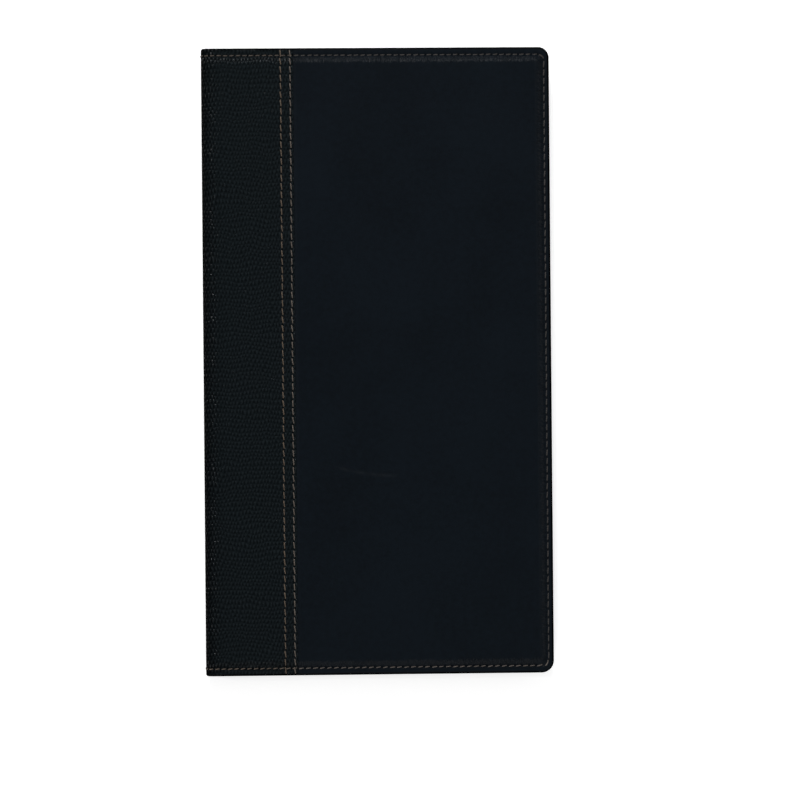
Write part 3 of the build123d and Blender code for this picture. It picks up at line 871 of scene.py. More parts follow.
def band_lines(c, s):
    """The band from its edge on the panel to mid-spine: outer line, turned-in line, edge roll and length along it.

    The cut edge is a short wall and a quarter circle, and its depth is kept apart so that
    it adds to the sewn edge's fall.
    """
    edge = band_edge(c)
    x_pad, x, deep, x2, deep2 = spine_lines(c)
    roll = 0.00025
    angle = np.linspace(0, np.pi / 2, 6)
    flat = spread((edge - roll, edge - 0.0068, 0.00025), (edge - 0.0068, x_pad, 0.00055))[1:]
    start = np.concatenate([[edge, edge], edge - roll + roll * np.cos(angle[1:])])
    fall = np.concatenate([[0.00060, roll], roll - roll * np.sin(angle[1:])])
    zero = np.zeros(len(flat))
    x_out = np.concatenate([start, flat, x])
    deep_out = np.concatenate([0 * start, zero, deep])
    x_in = np.concatenate([start, flat, x2])
    deep_in = np.concatenate([0 * start + c.drop + 2 * c.fold, zero + c.drop + 2 * c.fold, deep2])
    rolled = np.concatenate([fall, zero, 0 * x])
    step = np.hypot(np.diff(x_out), np.diff(deep_out))
    to_middle = np.concatenate([np.cumsum(step[::-1])[::-1], [0.0]])
    return x_out, deep_out, x_in, deep_in, rolled, to_middle


def band_surface(x, curve, y, c, s):
    """Depth of the band's outer face: spine curve and sewn edge together, with the rows' valleys."""
    fall = edge_fall(Y_EDGE - np.abs(y), c) * (1 - 0.6 * smooth((curve - 0.003) / 0.002))
    deep = blended_depth(curve, fall)
    near = X_SPINE + s.near_row
    rows = row_pull(x - near, s, 0.0005) + row_pull(x - near - s.row_apart, s, 0.0005)
    ends = row_pull(np.abs(y) - (Y_EDGE - s.end_inset), s)
    flat = 1 - smooth((curve - 0.0005) / 0.002)
    return deep + (rows + ends) * flat


def band(cover, c, s):
    """Grained band over half the spine: its end view carried along y, with both ends folded in.

    Each row of points is the outer line, pushed down by the sewn edge's fall. Past the ends
    the rows turn round a half circle from the outer line to the turned-in line, and run back
    along that.
    """
    x_out, deep_out, x_in, deep_in, rolled, to_middle = band_lines(c, s)
    reach = 0.008
    up = spread((0.0, Y_EDGE - reach, 0.0009), (Y_EDGE - reach, Y_EDGE - c.fold, 0.0004))
    y = np.concatenate([-up[:0:-1], up])[:, None]
    curve = deep_out[None, :]
    face = band_surface(x_out[None, :], curve, y, c, s)
    face = face + 0.00005 * waves(x_out[None, :] + 0 * y, y + 0 * curve, 0.04, 7) * smooth((Y_EDGE - np.abs(y)) / reach)
    outer = np.stack([x_out + 0 * y, y + 0 * curve, face + rolled], axis=-1)
    turn = np.linspace(0, np.pi, 9)[1:, None]
    mid_x, half_x = (x_out + x_in) / 2, (x_out - x_in) / 2
    end_deep, in_deep = outer[-1, :, 2], deep_in - rolled
    mid_z, half_z = (end_deep + in_deep) / 2, (end_deep - in_deep) / 2
    fold = np.stack(
        [mid_x + half_x * np.cos(turn), Y_EDGE - c.fold + c.fold * np.sin(turn) + 0 * mid_x, mid_z + half_z * np.cos(turn)],
        axis=-1,
    )
    back = np.linspace(Y_EDGE - c.fold, Y_EDGE - c.hem, 5)[1:, None]
    hem = np.stack([x_in + 0 * back, back + 0 * x_in, in_deep + 0 * back], axis=-1)
    high = np.concatenate([fold, hem])
    low = high[::-1] * np.array([1, -1, 1])
    grid = np.concatenate([low, outer, high])
    x, y, deep = grid[..., 0], grid[..., 1], grid[..., 2]
    near = X_SPINE + s.near_row
    across = np.where(x < near + s.row_apart / 2, near - x, x - near - s.row_apart)
    n = counts(s, c)["band"]
    sign = 1 if cover == "front" else -1
    path = np.sign(np.diff(y, axis=0, prepend=y[:1] - 1e-4)) * 0 + y
    maps = {
        "cut": np.stack([sign * to_middle * 1000 + 0 * y, path * 1000], axis=-1),
        "seam": seam_map(band_count(y, s), across),
        "ends": seam_map(n * to_middle / to_middle[0] + 0 * y, np.abs(y) - (Y_EDGE - s.end_inset)),
    }
    # The 'shade' mark is painted shade at the folded ends and the spine's crease; the other mark paints glints and
    # shade over the shoulder and by the top end.
    marks = {"shade": np.minimum(folded_shade(Y_EDGE - np.abs(y)), crease_shade(x, deep)), "stretch_and_painted_glint": np.clip(stretched(x, y), 0, 1)}
    faces = faced(quads(*x.shape)[:, ::-1], True, cover)
    piece = new_piece(cover + "_grained_band", on_cover(cover, x, y, deep), faces, finish("grained_leatherette"), maps, marks)
    thicken(piece, c.sheet)
    across_crease(piece)
    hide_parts(cover + "_band", "spine_band")
    return piece


def padding(cover, c):
    """Foam pad: a closed slab whose half thickness falls to nothing at its rim on a quarter circle."""
    low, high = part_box(cover + "_foam")
    deep = sorted((low.z, high.z) if cover == "back" else (THICKNESS - low.z, THICKNESS - high.z))
    x0, x1, y1 = low.x + 0.0002, high.x - 0.0002, high.y - 0.0002
    rim = 0.00055
    inset = rim * (1 - np.cos(np.linspace(0, np.pi / 2, 6)))
    x = np.concatenate([x0 + inset, spread((x0 + rim, x1 - rim, 0.002))[1:-1], x1 - inset[::-1]])
    y = np.concatenate([-y1 + inset, spread((rim - y1, y1 - rim, 0.002))[1:-1], y1 - inset[::-1]])
    near_x = np.minimum(x - x0, x1 - x)[None, :] + 0 * y[:, None]
    near_y = (y1 - np.abs(y))[:, None] + 0 * x[None, :]
    round_off = np.sqrt(np.clip(1 - (1 - np.clip(np.minimum(near_x, near_y) / rim, 0, 1)) ** 2, 0, 1))
    half = (deep[1] - deep[0]) / 2 * 0.94 * round_off
    middle = (deep[0] + deep[1]) / 2
    lapped = smooth((band_edge(c) + 0.002 - x) / 0.002)[None, :] * smooth((x - band_edge(c) + c.lap + 0.002) / 0.002)
    top = np.maximum(middle - half, np.minimum(deep[0] + 0.0009 * lapped, middle))
    grid_x, grid_y = np.meshgrid(x, y)
    points = np.stack([on_cover(cover, grid_x, grid_y, top), on_cover(cover, grid_x, grid_y, middle + half)])
    upper = faced(quads(*grid_x.shape), True, cover)
    lower = faced(quads(*grid_x.shape, first=grid_x.size), False, cover)
    piece = new_piece(cover + "_padding", points, np.concatenate([upper, lower]), finish("padding"))
    weld(piece.data, 1e-6)
    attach(piece, cover + "_cover")
    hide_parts(cover + "_foam")
    return piece


def weld(mesh, distance):
    """Joins points that lie together, so that a shell closes."""
    import bmesh

    work = bmesh.new()
    work.from_mesh(mesh)
    bmesh.ops.remove_doubles(work, verts=work.verts, dist=distance)
    work.to_mesh(mesh)
    work.free()


def lining_lines(c):
    """The lining's inside face as seen from its end, from mid-spine round the gutter to the free edge."""
    x_wall = X_SPINE + c.spine_wall
    bend = np.linspace(np.pi / 2, 0, 10)[1:]
    wall = np.linspace(THICKNESS / 2, c.depth + c.gutter, 4)
    x_flat = spread((x_wall + c.gutter, X_FREE - c.lining_inset - 0.004, 0.0013))[1:]
    x_corner = X_FREE - c.lining_inset - 0.004 + 0.004 * np.sin(np.linspace(0, np.pi / 2, 14)[1:])
    x = np.concatenate([np.full(4, x_wall), x_wall + c.gutter * (1 - np.sin(bend)), x_flat, x_corner])
    deep = np.concatenate([wall, c.depth + c.gutter * (1 - np.cos(bend)), np.full(len(x_flat) + 13, c.depth)])
    return x, deep


def lining(cover, c, s):
    """Lining: its end view carried along y, its free corners rounded by shortening the last columns."""
    x, deep = lining_lines(c)
    x_turn = X_FREE - c.lining_inset - 0.0038
    y_most = Y_EDGE - c.lining_inset
    over = np.clip(x - x_turn, 0, 0.0038)
    y_end = y_most - 0.0038 + np.sqrt(np.maximum(0.0038**2 - over**2, 0))
    share_up = spread((0.0, 0.96, 0.008), (0.96, 1.0, 0.0035))
    y = np.concatenate([-share_up[:0:-1], share_up])[:, None] * y_end[None, :]
    x_grid = x[None, :] + 0 * y
    along, out = edge_row(x_grid, y, s, c)
    flat = smooth((x_grid - X_SPINE - 0.004) / 0.004)
    sag = flat * (row_pull(out, s) + 0.00004 * (1 + waves(x_grid, y, 0.03, 11)))
    points = on_cover(cover, x_grid, y, deep[None, :] - sag)
    faces = faced(quads(*y.shape), False, cover)
    piece = new_piece(cover + "_lining", points, faces, finish("lining"), {"seam": seam_map(along, out)})
    thicken(piece, c.lining)
    round_rim(piece, 0.00015)
    across_crease(piece)
    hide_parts(cover + "_liner", "spine_liner")
    return piece


def pocket_mouth(p):
    return p.tall - Y_EDGE


def pocket_face(x, y, c, s, p):
    """Depth of a receipt pocket's face: flat, pressed down along the edge row and a little along the mouth's row."""
    _, out = edge_row(x, y, s, c)
    pressed = 0.0004 * bell(np.minimum(out + 0.0004, 0) / 0.0022)
    mouth = row_pull(y - pocket_mouth(p) + p.seam, s)
    thicker = 0.0
    return c.depth + p.panel - pressed - mouth - thicker


def receipt_pocket(cover, c, s, p):
    """Receipt pocket: a sheet with its two sides and foot turned under, open at the mouth."""
    reach = 0.005
    fold = p.panel / 2
    left, right = X_SPINE + p.setback, X_FREE - c.lining_inset
    middle, half = (left + right) / 2, (right - left) / 2
    far = Y_EDGE - c.lining_inset
    inset, deep, _ = folded_rings(fold, p.hem, reach, lambda d: 0 * d, 12)
    p_open = spread((-pocket_mouth(p), -pocket_mouth(p) + 0.006, 0.0005), (-pocket_mouth(p) + 0.006, far - reach, 0.0012))
    q_flat = spread((reach - half, half - reach, 0.0012))
    down, across, ring = wrapped_sheet(p_open, q_flat, inset, far, half, (0.0008, 0.0038), reach)
    x, y = middle + across, -down
    under = np.concatenate([[0.0], deep])[ring]
    face = pocket_face(x, y, c, s, p)
    low = c.depth + 0.00002
    depth = face + (low - face) * under / (2 * fold)
    along, out = edge_row(x, y, s, c)
    mouth = seam_map(x / s.pocket_pitch, y - pocket_mouth(p) + p.seam)
    maps = {"seam": np.where((out > -0.004)[..., None], seam_map(along, out), mouth)}
    faces = faced(quads(*x.shape), False, cover)
    piece = new_piece(cover + "_pocket", on_cover(cover, x, y, depth), faces, finish("lining"), maps)
    thicken(piece, fold * 0.9)
    round_rim(piece, 0.00018)
    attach(piece, cover + "_cover")
    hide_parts(cover + "_receipt_pocket", cover + "_pocket_hem")
    return piece


def card_frame(c, p):
    """Corners of the card pocket, and the face of the receipt pocket under it."""
    middle = (X_SPINE + p.setback + X_FREE - c.lining_inset) / 2
    foot = p.card_raised - Y_EDGE
    return middle - p.card_wide / 2, middle + p.card_wide / 2, foot, foot + p.card_tall, c.depth + p.panel


def u_strip(x0, x1, y0, y1, ring, step):
    """A strip carried down one side, along the foot and up the other: ring gives its section as inset and height.

    The path at each inset is its own U, so the corners are mitred. Gives x, y and height.
    """
    inset, height = ring[0][:, None], ring[1][:, None]
    side = spread((y1, y0, step))
    foot = spread((x0, x1, step))
    n, m = len(side), len(foot)
    go_down = np.linspace(0, 1, n)[None, :]
    along = np.linspace(0, 1, m)[None, 1:-1]
    x_left, x_right, y_foot = x0 + inset, x1 - inset, y0 + inset
    x = np.concatenate([x_left + 0 * go_down, x_left + (x_right - x_left) * along, x_right + 0 * go_down], axis=1)
    fall = y1 + (y_foot - y1) * go_down
    y = np.concatenate([fall, y_foot + 0 * along, fall[:, ::-1]], axis=1)
    return x, y, height + 0 * x


def card_pocket(c, s, p):
    """Card pocket: a clear sheet whose three sewn edges curve down, over a spaced edge of lining."""
    x0, x1, y0, y1, base = card_frame(c, p)
    turn = np.linspace(0, 2 * np.pi, 25)[:-1]
    width, tall = p.card_hem / 2 - 0.00005, p.card_space / 2 - 0.00001
    power = 0.35
    section = (
        p.card_hem / 2 + width * np.sign(np.cos(turn)) * np.abs(np.cos(turn)) ** power,
        base + tall + 0.00001 + tall * np.sign(np.sin(turn)) * np.abs(np.sin(turn)) ** power,
    )
    x, y, height = u_strip(x0, x1, y0, y1, section, 0.002)
    rows, cols = x.shape
    ends = [np.arange(rows) * cols, np.arange(rows)[::-1] * cols + cols - 1]
    maps = {"seam": seam_map(0 * x, 1 + 0 * x)}
    faces = quads(rows, cols, ring=True)
    strip = new_piece("card_pocket_edge", on_cover("back", x, y, height), faces, finish("lining"), maps, caps=ends)
    face_outward(strip.data)
    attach(strip, "back_cover")
    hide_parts("card_pocket_hem")

    edge = 0.003
    rim = 0.0011 * (1 - np.cos(np.linspace(0, np.pi / 2, 8)))
    xs = np.concatenate([x0 + 0.0001 + rim, spread((x0 + edge, x1 - edge, 0.0012)), x1 - 0.0001 - rim[::-1]])
    ys = np.concatenate([y0 + 0.0001 + rim, spread((y0 + edge, y1 - 0.0006, 0.0012), (y1 - 0.0006, y1, 0.0002))])
    gx, gy = np.meshgrid(xs, ys)
    near = np.minimum(np.minimum(gx - x0, x1 - gx), gy - y0)
    top = base + p.card_space + p.vinyl
    press = 0.00022 * (1 - smooth(near / 0.0012)) + 0.00008 * bell((near - p.card_hem / 2) / 0.0005)
    bow = 0.00005 * waves(gx, gy, 0.03, 5) * smooth(near / 0.006)
    marks = {"rim": np.maximum(1 - smooth(near / 0.0018), smooth((gy - y1 + 0.0006) / 0.0005))}
    points = on_cover("back", gx, gy, top - press - 0.00004 + bow)
    window = new_piece("card_window", points, quads(*gx.shape), finish("clear_vinyl"), marks=marks)
    thicken(window, p.vinyl)
    round_rim(window, 0.00006)
    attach(window, "back_cover")
    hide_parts("card_pocket_window")


def face_outward(mesh):
    """Turns a closed shell's faces outward."""
    import bmesh

    work = bmesh.new()
    work.from_mesh(mesh)
    bmesh.ops.recalc_face_normals(work, faces=work.faces)
    work.to_mesh(mesh)
    work.free()


# Stitches


def stitches(rows, s, seed):
    """Thread of stitched rows: points, faces, lay map, caps and paleness mark.

    A row is a line of points with outward normals, a count of stitches along it, a slant, a
    paleness and the share of its pitch that a stitch shows. A stitch is a tube over that
    share. Its middle stands a third of a thread over the sheet, its ends dive below it and narrow, and its section has two
    lobes that turn along it, as two plies do.
    """
    rng = np.random.default_rng(seed)
    along = np.array([0.0, 0.10, 0.32, 0.68, 0.90, 1.0])
    rise = np.array([-0.75, -0.12, 0.10, 0.10, -0.12, -0.75])
    girth = np.array([0.55, 0.96, 1.0, 1.0, 0.96, 0.55])
    turn = np.linspace(0, 2 * np.pi, 9)[:-1]
    all_points, all_maps, pale, painted_row_light = [], [], [], []
    for row in rows:
        count = np.arange(int(np.floor(row["count"][0] + 0.5)), int(np.floor(row["count"][-1] + 0.5)))
        if len(count) == 0:
            continue
        at = count[:, None] + 0.5 + row["shown"] * (along[None, :] - 0.5) + rng.uniform(-0.02, 0.02, (len(count), 1))
        spot = np.stack([np.interp(at, row["count"], row["points"][:, i]) for i in range(3)], axis=-1)
        normal = np.stack([np.interp(at, row["count"], row["normals"][:, i]) for i in range(3)], axis=-1)
        normal /= np.linalg.norm(normal, axis=-1, keepdims=True)
        ahead = spot[:, -1:] - spot[:, :1]
        ahead = ahead / np.linalg.norm(ahead, axis=-1, keepdims=True) + 0 * spot
        side = np.cross(ahead, normal)
        side /= np.linalg.norm(side, axis=-1, keepdims=True)
        run = np.linalg.norm(spot[:, -1] - spot[:, 0], axis=-1)[:, None]
        lean = row["slant"] + rng.normal(0, 0.035, (len(count), 1))
        shift = (along[None, :] - 0.5) * run * np.tan(lean) + rng.normal(0, 0.00003, (len(count), 1))
        lift = rise[None, :] * s.thread * row.get("lift", 1.0)
        centre = spot + side * shift[..., None] + normal * lift[..., None]
        radius = s.thread / 2 * girth[None, :] * rng.uniform(0.92, 1.06, (len(count), 1))
        lobes = 1 + 0.13 * np.cos(2 * (turn[None, None, :] - 3.5 * along[None, :, None]))
        reach = radius[..., None] * lobes
        points = (
            centre[:, :, None, :]
            + side[:, :, None, :] * (reach * np.cos(turn))[..., None]
            + normal[:, :, None, :] * (reach * np.sin(turn) * 0.85)[..., None]
        )
        lay_u = (along[None, :, None] * run[..., None]) * 1000 + 0 * reach
        lay_v = turn[None, None, :] / (2 * np.pi) + 0 * reach
        all_points.append(points.reshape(-1, 3))
        all_maps.append(np.stack([lay_u, lay_v], axis=-1).reshape(-1, 2))
        pale.append(np.full(points.shape[0] * 48, row["pale"]))
        painted_row_light.append(np.full(points.shape[0] * 48, row["painted_row_light"]))
    points = np.concatenate(all_points)
    first = np.arange(len(points) // 48)[:, None] * 48
    number = np.arange(48).reshape(6, 8)
    number = np.concatenate([number, number[:, :1]], axis=1)
    one = np.stack([number[:-1, :-1], number[:-1, 1:], number[1:, 1:], number[1:, :-1]], axis=-1).reshape(-1, 4)
    faces = (first[:, :, None] + one[None]).reshape(-1, 4)
    caps = np.concatenate([first + np.arange(8)[::-1][None], first + np.arange(40, 48)[None]]).tolist()
    marks = {"pale": np.concatenate(pale), "painted_row_light": np.concatenate(painted_row_light)}
    return points, faces, np.concatenate(all_maps), marks, caps


def sewn(name, rows, s, seed):
    """A piece of thread made of stitched rows."""
    points, faces, lay, marks, caps = stitches(rows, s, seed)
    piece = new_piece(name, points, faces, finish("thread"), {"lay": lay}, marks, caps)
    face_outward(piece.data)
    return piece


def line_of(cover, x, y, deep, normal_x, normal_deep, count, slant, pale, painted_row_light=1.0, shown=0.8, lift=1.0):
    """A row for stitches(): points on a cover, with normals given in x and depth."""
    x, y, deep, normal_x, normal_deep = np.broadcast_arrays(x, y, deep, normal_x, normal_deep)
    flip = -1.0 if cover == "front" else 1.0
    return {
        "points": on_cover(cover, x, y, deep),
        "normals": np.stack([normal_x, 0 * normal_x, flip * normal_deep], axis=-1),
        "count": np.asarray(count, float),
        "slant": slant,
        "pale": pale,
        "painted_row_light": painted_row_light,
        "shown": shown,
        "lift": lift,
    }


def plan_of_row(s, c):
    """The edge row past the band, seen from above: x, y and stitch count, from the band's edge at the top to it at the foot."""
    n = counts(s, c)
    xc, yc = X_FREE - s.free_inset - s.corner, Y_EDGE - s.end_inset - s.corner
    angle = np.linspace(0, np.pi / 2, 9)
    top = np.linspace(band_edge(c), xc, n["top"] * 2 + 1)
    x = np.concatenate([top, xc + s.corner * np.sin(angle[1:])])
    y = np.concatenate([np.full(len(top), yc + s.corner), yc + s.corner * np.cos(angle[1:])])
    count = np.concatenate([np.linspace(0, n["top"], len(top)), n["top"] + n["corner"] * angle[1:] / (np.pi / 2)])
    start = count[-1]
    side = np.linspace(yc, -yc, n["side"] * 2 + 1)[1:]
    x = np.concatenate([x, np.full(len(side), xc + s.corner)])
    y = np.concatenate([y, side])
    count = np.concatenate([count, start + n["side"] * np.arange(1, len(side) + 1) / len(side)])
    start = count[-1]
    foot = np.linspace(xc, band_edge(c), n["foot"] * 2 + 1)[1:]
    x = np.concatenate([x, xc + s.corner * np.cos(angle[1:]), foot])
    y = np.concatenate([y, -yc - s.corner * np.sin(angle[1:]), np.full(len(foot), -yc - s.corner)])
    count = np.concatenate([count, start + n["corner"] * angle[1:] / (np.pi / 2)])
    start = count[-1]
    count = np.concatenate([count, start + n["foot"] * np.arange(1, len(foot) + 1) / len(foot)])
    return x, y, count


def outward(x, deep):
    """Unit normals of a line in x and depth that point away from the cover's inside, where the line runs to the spine."""
    dx, dz = np.gradient(x), np.gradient(deep)
    size = np.hypot(dx, dz)
    return -dz / size, dx / size


def edge_stitching(cover, c, s):
    """Edge row outside: along the top, free side and bottom, and on over the band to mid-spine."""
    x, y, count = plan_of_row(s, c)
    deep = c.drop + s.pull + 0 * x
    n = counts(s, c)
    top, side = n["top"] + n["corner"], n["side"]
    total = count[-1]
    rows = []
    # Each stretch: first and last stitch count, slant, paleness, painted brightness and shown share. The painted
    # brightness is painted shade along the top and free side and painted light along the bottom.
    stretches = (
        (0, top, -0.08, 0.85, 0.55, 0.84),
        (top, top + side, 0.08, 1.0, 0.48, 0.86),
        (top + side, total, -0.20, 0.85, 1.9, 0.86),
    )
    for low, high, slant, pale, painted_row_light, shown in stretches:
        part = (count >= low - 0.01) & (count <= high + 0.01)
        rows.append(line_of(cover, x[part], y[part], deep[part], 0.0, -1.0, count[part], slant, pale, painted_row_light, shown))
    x_out, deep_out, _, _, rolled, to_middle = band_lines(c, s)
    keep = np.arange(len(x_out)) >= 6
    x_line, curve, left = x_out[keep], deep_out[keep], to_middle[keep]
    # Rows over the band's ends: painted shade at the top end, painted light at the bottom end.
    for y_row, slant, painted_row_light, shown in ((Y_EDGE - s.end_inset, -0.05, 0.85, 0.80), (s.end_inset - Y_EDGE, -0.20, 1.5, 0.86)):
        face = band_surface(x_line, curve, np.array(y_row), c, s)
        nx, nz = outward(x_line, face)
        number = n["band"] * (1 - left / to_middle[0])
        rows.append(line_of(cover, x_line, y_row, face, nx, nz, number, slant, 0.5, painted_row_light, shown))
    piece = sewn(cover + "_edge_stitching", rows, s, 21)
    across_crease(piece)
    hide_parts(cover + "_edge_thread", "spine_thread")


def inside_stitching(cover, c, s, p):
    """The same row where it comes out on the lining and the pocket's edge."""
    x, y, count = plan_of_row(s, c)
    over_pocket = smooth((pocket_mouth(p) - y) / 0.0004) * smooth((x - X_SPINE - p.setback) / 0.0004)
    face = pocket_face(x, y, c, s, p)
    deep = (c.depth - s.pull) * (1 - over_pocket) + face * over_pocket
    keep = (count < np.floor(count[np.argmin(np.abs(y - pocket_mouth(p)) + (x < 0))])) | (y < pocket_mouth(p) - 0.001)
    rows = [
        line_of(cover, x[part], y[part], deep[part], 0.0, 1.0, count[part], 0.03, 0.65, 0.9, lift=0.9)
        for part in (keep & (y >= pocket_mouth(p)), keep & (y < pocket_mouth(p)))
    ]
    x_line, curve = lining_lines(c)
    to_edge = x_line <= band_edge(c)
    x_line, curve = x_line[to_edge], curve[to_edge]
    step = np.concatenate([[0.0], np.cumsum(np.hypot(np.diff(x_line), np.diff(curve)))])
    number = counts(s, c)["band"] * step / step[-1]
    nx, nz = outward(x_line, curve)
    for y_row, above in ((Y_EDGE - s.end_inset, 0.0), (s.end_inset - Y_EDGE, 1.0)):
        raise_by = above * smooth((x_line - X_SPINE - p.setback) / 0.0004)
        face = curve - s.pull * smooth((x_line - X_SPINE - 0.004) / 0.004)
        face = face * (1 - raise_by) + pocket_face(x_line, y_row + 0 * x_line, c, s, p) * raise_by
        rows.append(line_of(cover, x_line, y_row, face, nx, nz, number, 0.03, 0.65, 0.9, lift=0.9))
    piece = sewn(cover + "_inside_stitching", rows, s, 22)
    across_crease(piece)
    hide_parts(cover + "_edge_thread", "spine_thread")


def band_stitching(cover, c, s):
    """The two rows that sew the band to the panel, from edge to edge."""
    reach = Y_EDGE - 0.0003
    y = np.linspace(-reach, reach, 401)
    over = np.clip(np.abs(y) - Y_EDGE + c.fold, 0, c.fold)
    rows = []
    # Band rows: painted light, a little brighter than the thread's colour.
    for x_row, pale, painted_row_light in ((X_SPINE + s.near_row, 0.18, 1.12), (X_SPINE + s.near_row + s.row_apart, 0.7, 1.34)):
        face = band_surface(x_row + 0 * y, 0 * y, y, c, s) + c.fold - np.sqrt(c.fold**2 - over**2)
        slope = np.gradient(face, y)
        count = band_count(y, s)
        row = line_of(cover, x_row + 0 * y, y, face, 0 * y, -1 + 0 * y, count, -0.12, pale, painted_row_light, 0.93)
        row["normals"][:, 1] = slope
        rows.append(row)
    piece = sewn(cover + "_band_stitching", rows, s, 23)
    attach(piece, cover + "_cover")
    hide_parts(cover + "_band_thread")


def pocket_stitching(cover, c, s, p):
    """Row below a receipt pocket's mouth."""
    x = np.linspace(X_SPINE + p.setback + 0.001, X_FREE - c.lining_inset - 0.003, 201)
    y_row = pocket_mouth(p) - p.seam
    face = pocket_face(x, y_row + 0 * x, c, s, p)
    rows = [line_of(cover, x, y_row, face, 0.0, 1.0, x / s.pocket_pitch, 0.05, 0.5, 0.9, lift=0.8)]
    piece = sewn(cover + "_pocket_stitching", rows, s, 24)
    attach(piece, cover + "_cover")
    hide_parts(cover + "_pocket_thread")


def card_stitching(c, s, p):
    """Row round the card pocket's two sides and foot, pulled into the clear sheet."""
    x0, x1, y0, y1, base = card_frame(c, p)
    mid = p.card_hem / 2
    top = base + p.card_space + p.vinyl - 0.00025
    side = round((p.card_tall - mid) / s.pocket_pitch)
    foot = round((p.card_wide - p.card_hem) / s.pocket_pitch)
    down = np.linspace(y1, y0 + mid, side + 1)
    over = np.linspace(x0 + mid, x1 - mid, foot + 1)
    rows = [
        line_of("back", x0 + mid, down, top, 0.0, 1.0, np.arange(side + 1), 0.0, 0.5, 0.9, lift=0.8),
        line_of("back", over, y0 + mid, top, 0.0, 1.0, np.arange(foot + 1), 0.0, 0.5, 0.9, lift=0.8),
        line_of("back", x1 - mid, down, top, 0.0, 1.0, np.arange(side + 1), 0.0, 0.5, 0.9, lift=0.8),
    ]
    piece = sewn("card_pocket_stitching", rows, s, 25)
    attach(piece, "back_cover")
    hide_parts("card_pocket_thread")


# Operators


class PRESENTER_OT_panels(bpy.types.Operator):
    """Make the smooth padded panels of both covers"""

    bl_idname = "presenter.panels"
    bl_label = "Smooth panels"

    def execute(self, context):
        for cover in COVERS:
            panel(cover, context.scene.presenter_cover, context.scene.presenter_stitches)
        return {"FINISHED"}


class PRESENTER_OT_bands(bpy.types.Operator):
    """Make the grained bands that wrap the spine"""

    bl_idname = "presenter.bands"
    bl_label = "Grained bands"

    def execute(self, context):
        for cover in COVERS:
            band(cover, context.scene.presenter_cover, context.scene.presenter_stitches)
        return {"FINISHED"}


class PRESENTER_OT_padding(bpy.types.Operator):
    """Make the foam under the panels and finish the boards and the spine's strip"""

    bl_idname = "presenter.padding"
    bl_label = "Padding and boards"

    def execute(self, context):
        for cover in COVERS:
            padding(cover, context.scene.presenter_cover)
        for node in ("back_board", "front_board", "spine_stiffener"):
            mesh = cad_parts[node].data
            mesh.materials.clear()
            mesh.materials.append(finish("greyboard"))
        return {"FINISHED"}


class PRESENTER_OT_linings(bpy.types.Operator):
    """Make the lining of both covers and the spine"""

    bl_idname = "presenter.linings"
    bl_label = "Linings"

    def execute(self, context):
        for cover in COVERS:
            lining(cover, context.scene.presenter_cover, context.scene.presenter_stitches)
        return {"FINISHED"}


class PRESENTER_OT_pockets(bpy.types.Operator):
    """Make the receipt pockets and the clear card pocket"""

    bl_idname = "presenter.pockets"
    bl_label = "Pockets"

    def execute(self, context):
        scene = context.scene
        for cover in COVERS:
            receipt_pocket(cover, scene.presenter_cover, scene.presenter_stitches, scene.presenter_pockets)
        card_pocket(scene.presenter_cover, scene.presenter_stitches, scene.presenter_pockets)
        return {"FINISHED"}


class PRESENTER_OT_stitching(bpy.types.Operator):
    """Sew every row of stitches"""

    bl_idname = "presenter.stitching"
    bl_label = "Stitching"

    def execute(self, context):
        c, s, p = context.scene.presenter_cover, context.scene.presenter_stitches, context.scene.presenter_pockets
        for cover in COVERS:
            edge_stitching(cover, c, s)
            inside_stitching(cover, c, s, p)
            band_stitching(cover, c, s)
            pocket_stitching(cover, c, s, p)
        card_stitching(c, s, p)
        return {"FINISHED"}


def area_light(name, place, aim, size, power):
    """A square soft light at a place, turned to a point."""
    data = bpy.data.lights.new(name, "AREA")
    data.size = size
    data.energy = power
    lamp = bpy.data.objects.new(name, data)
    lamp.location = place
    lamp.rotation_euler = (Vector(aim) - Vector(place)).to_track_quat("-Z", "Y").to_euler()
    bpy.context.scene.collection.objects.link(lamp)


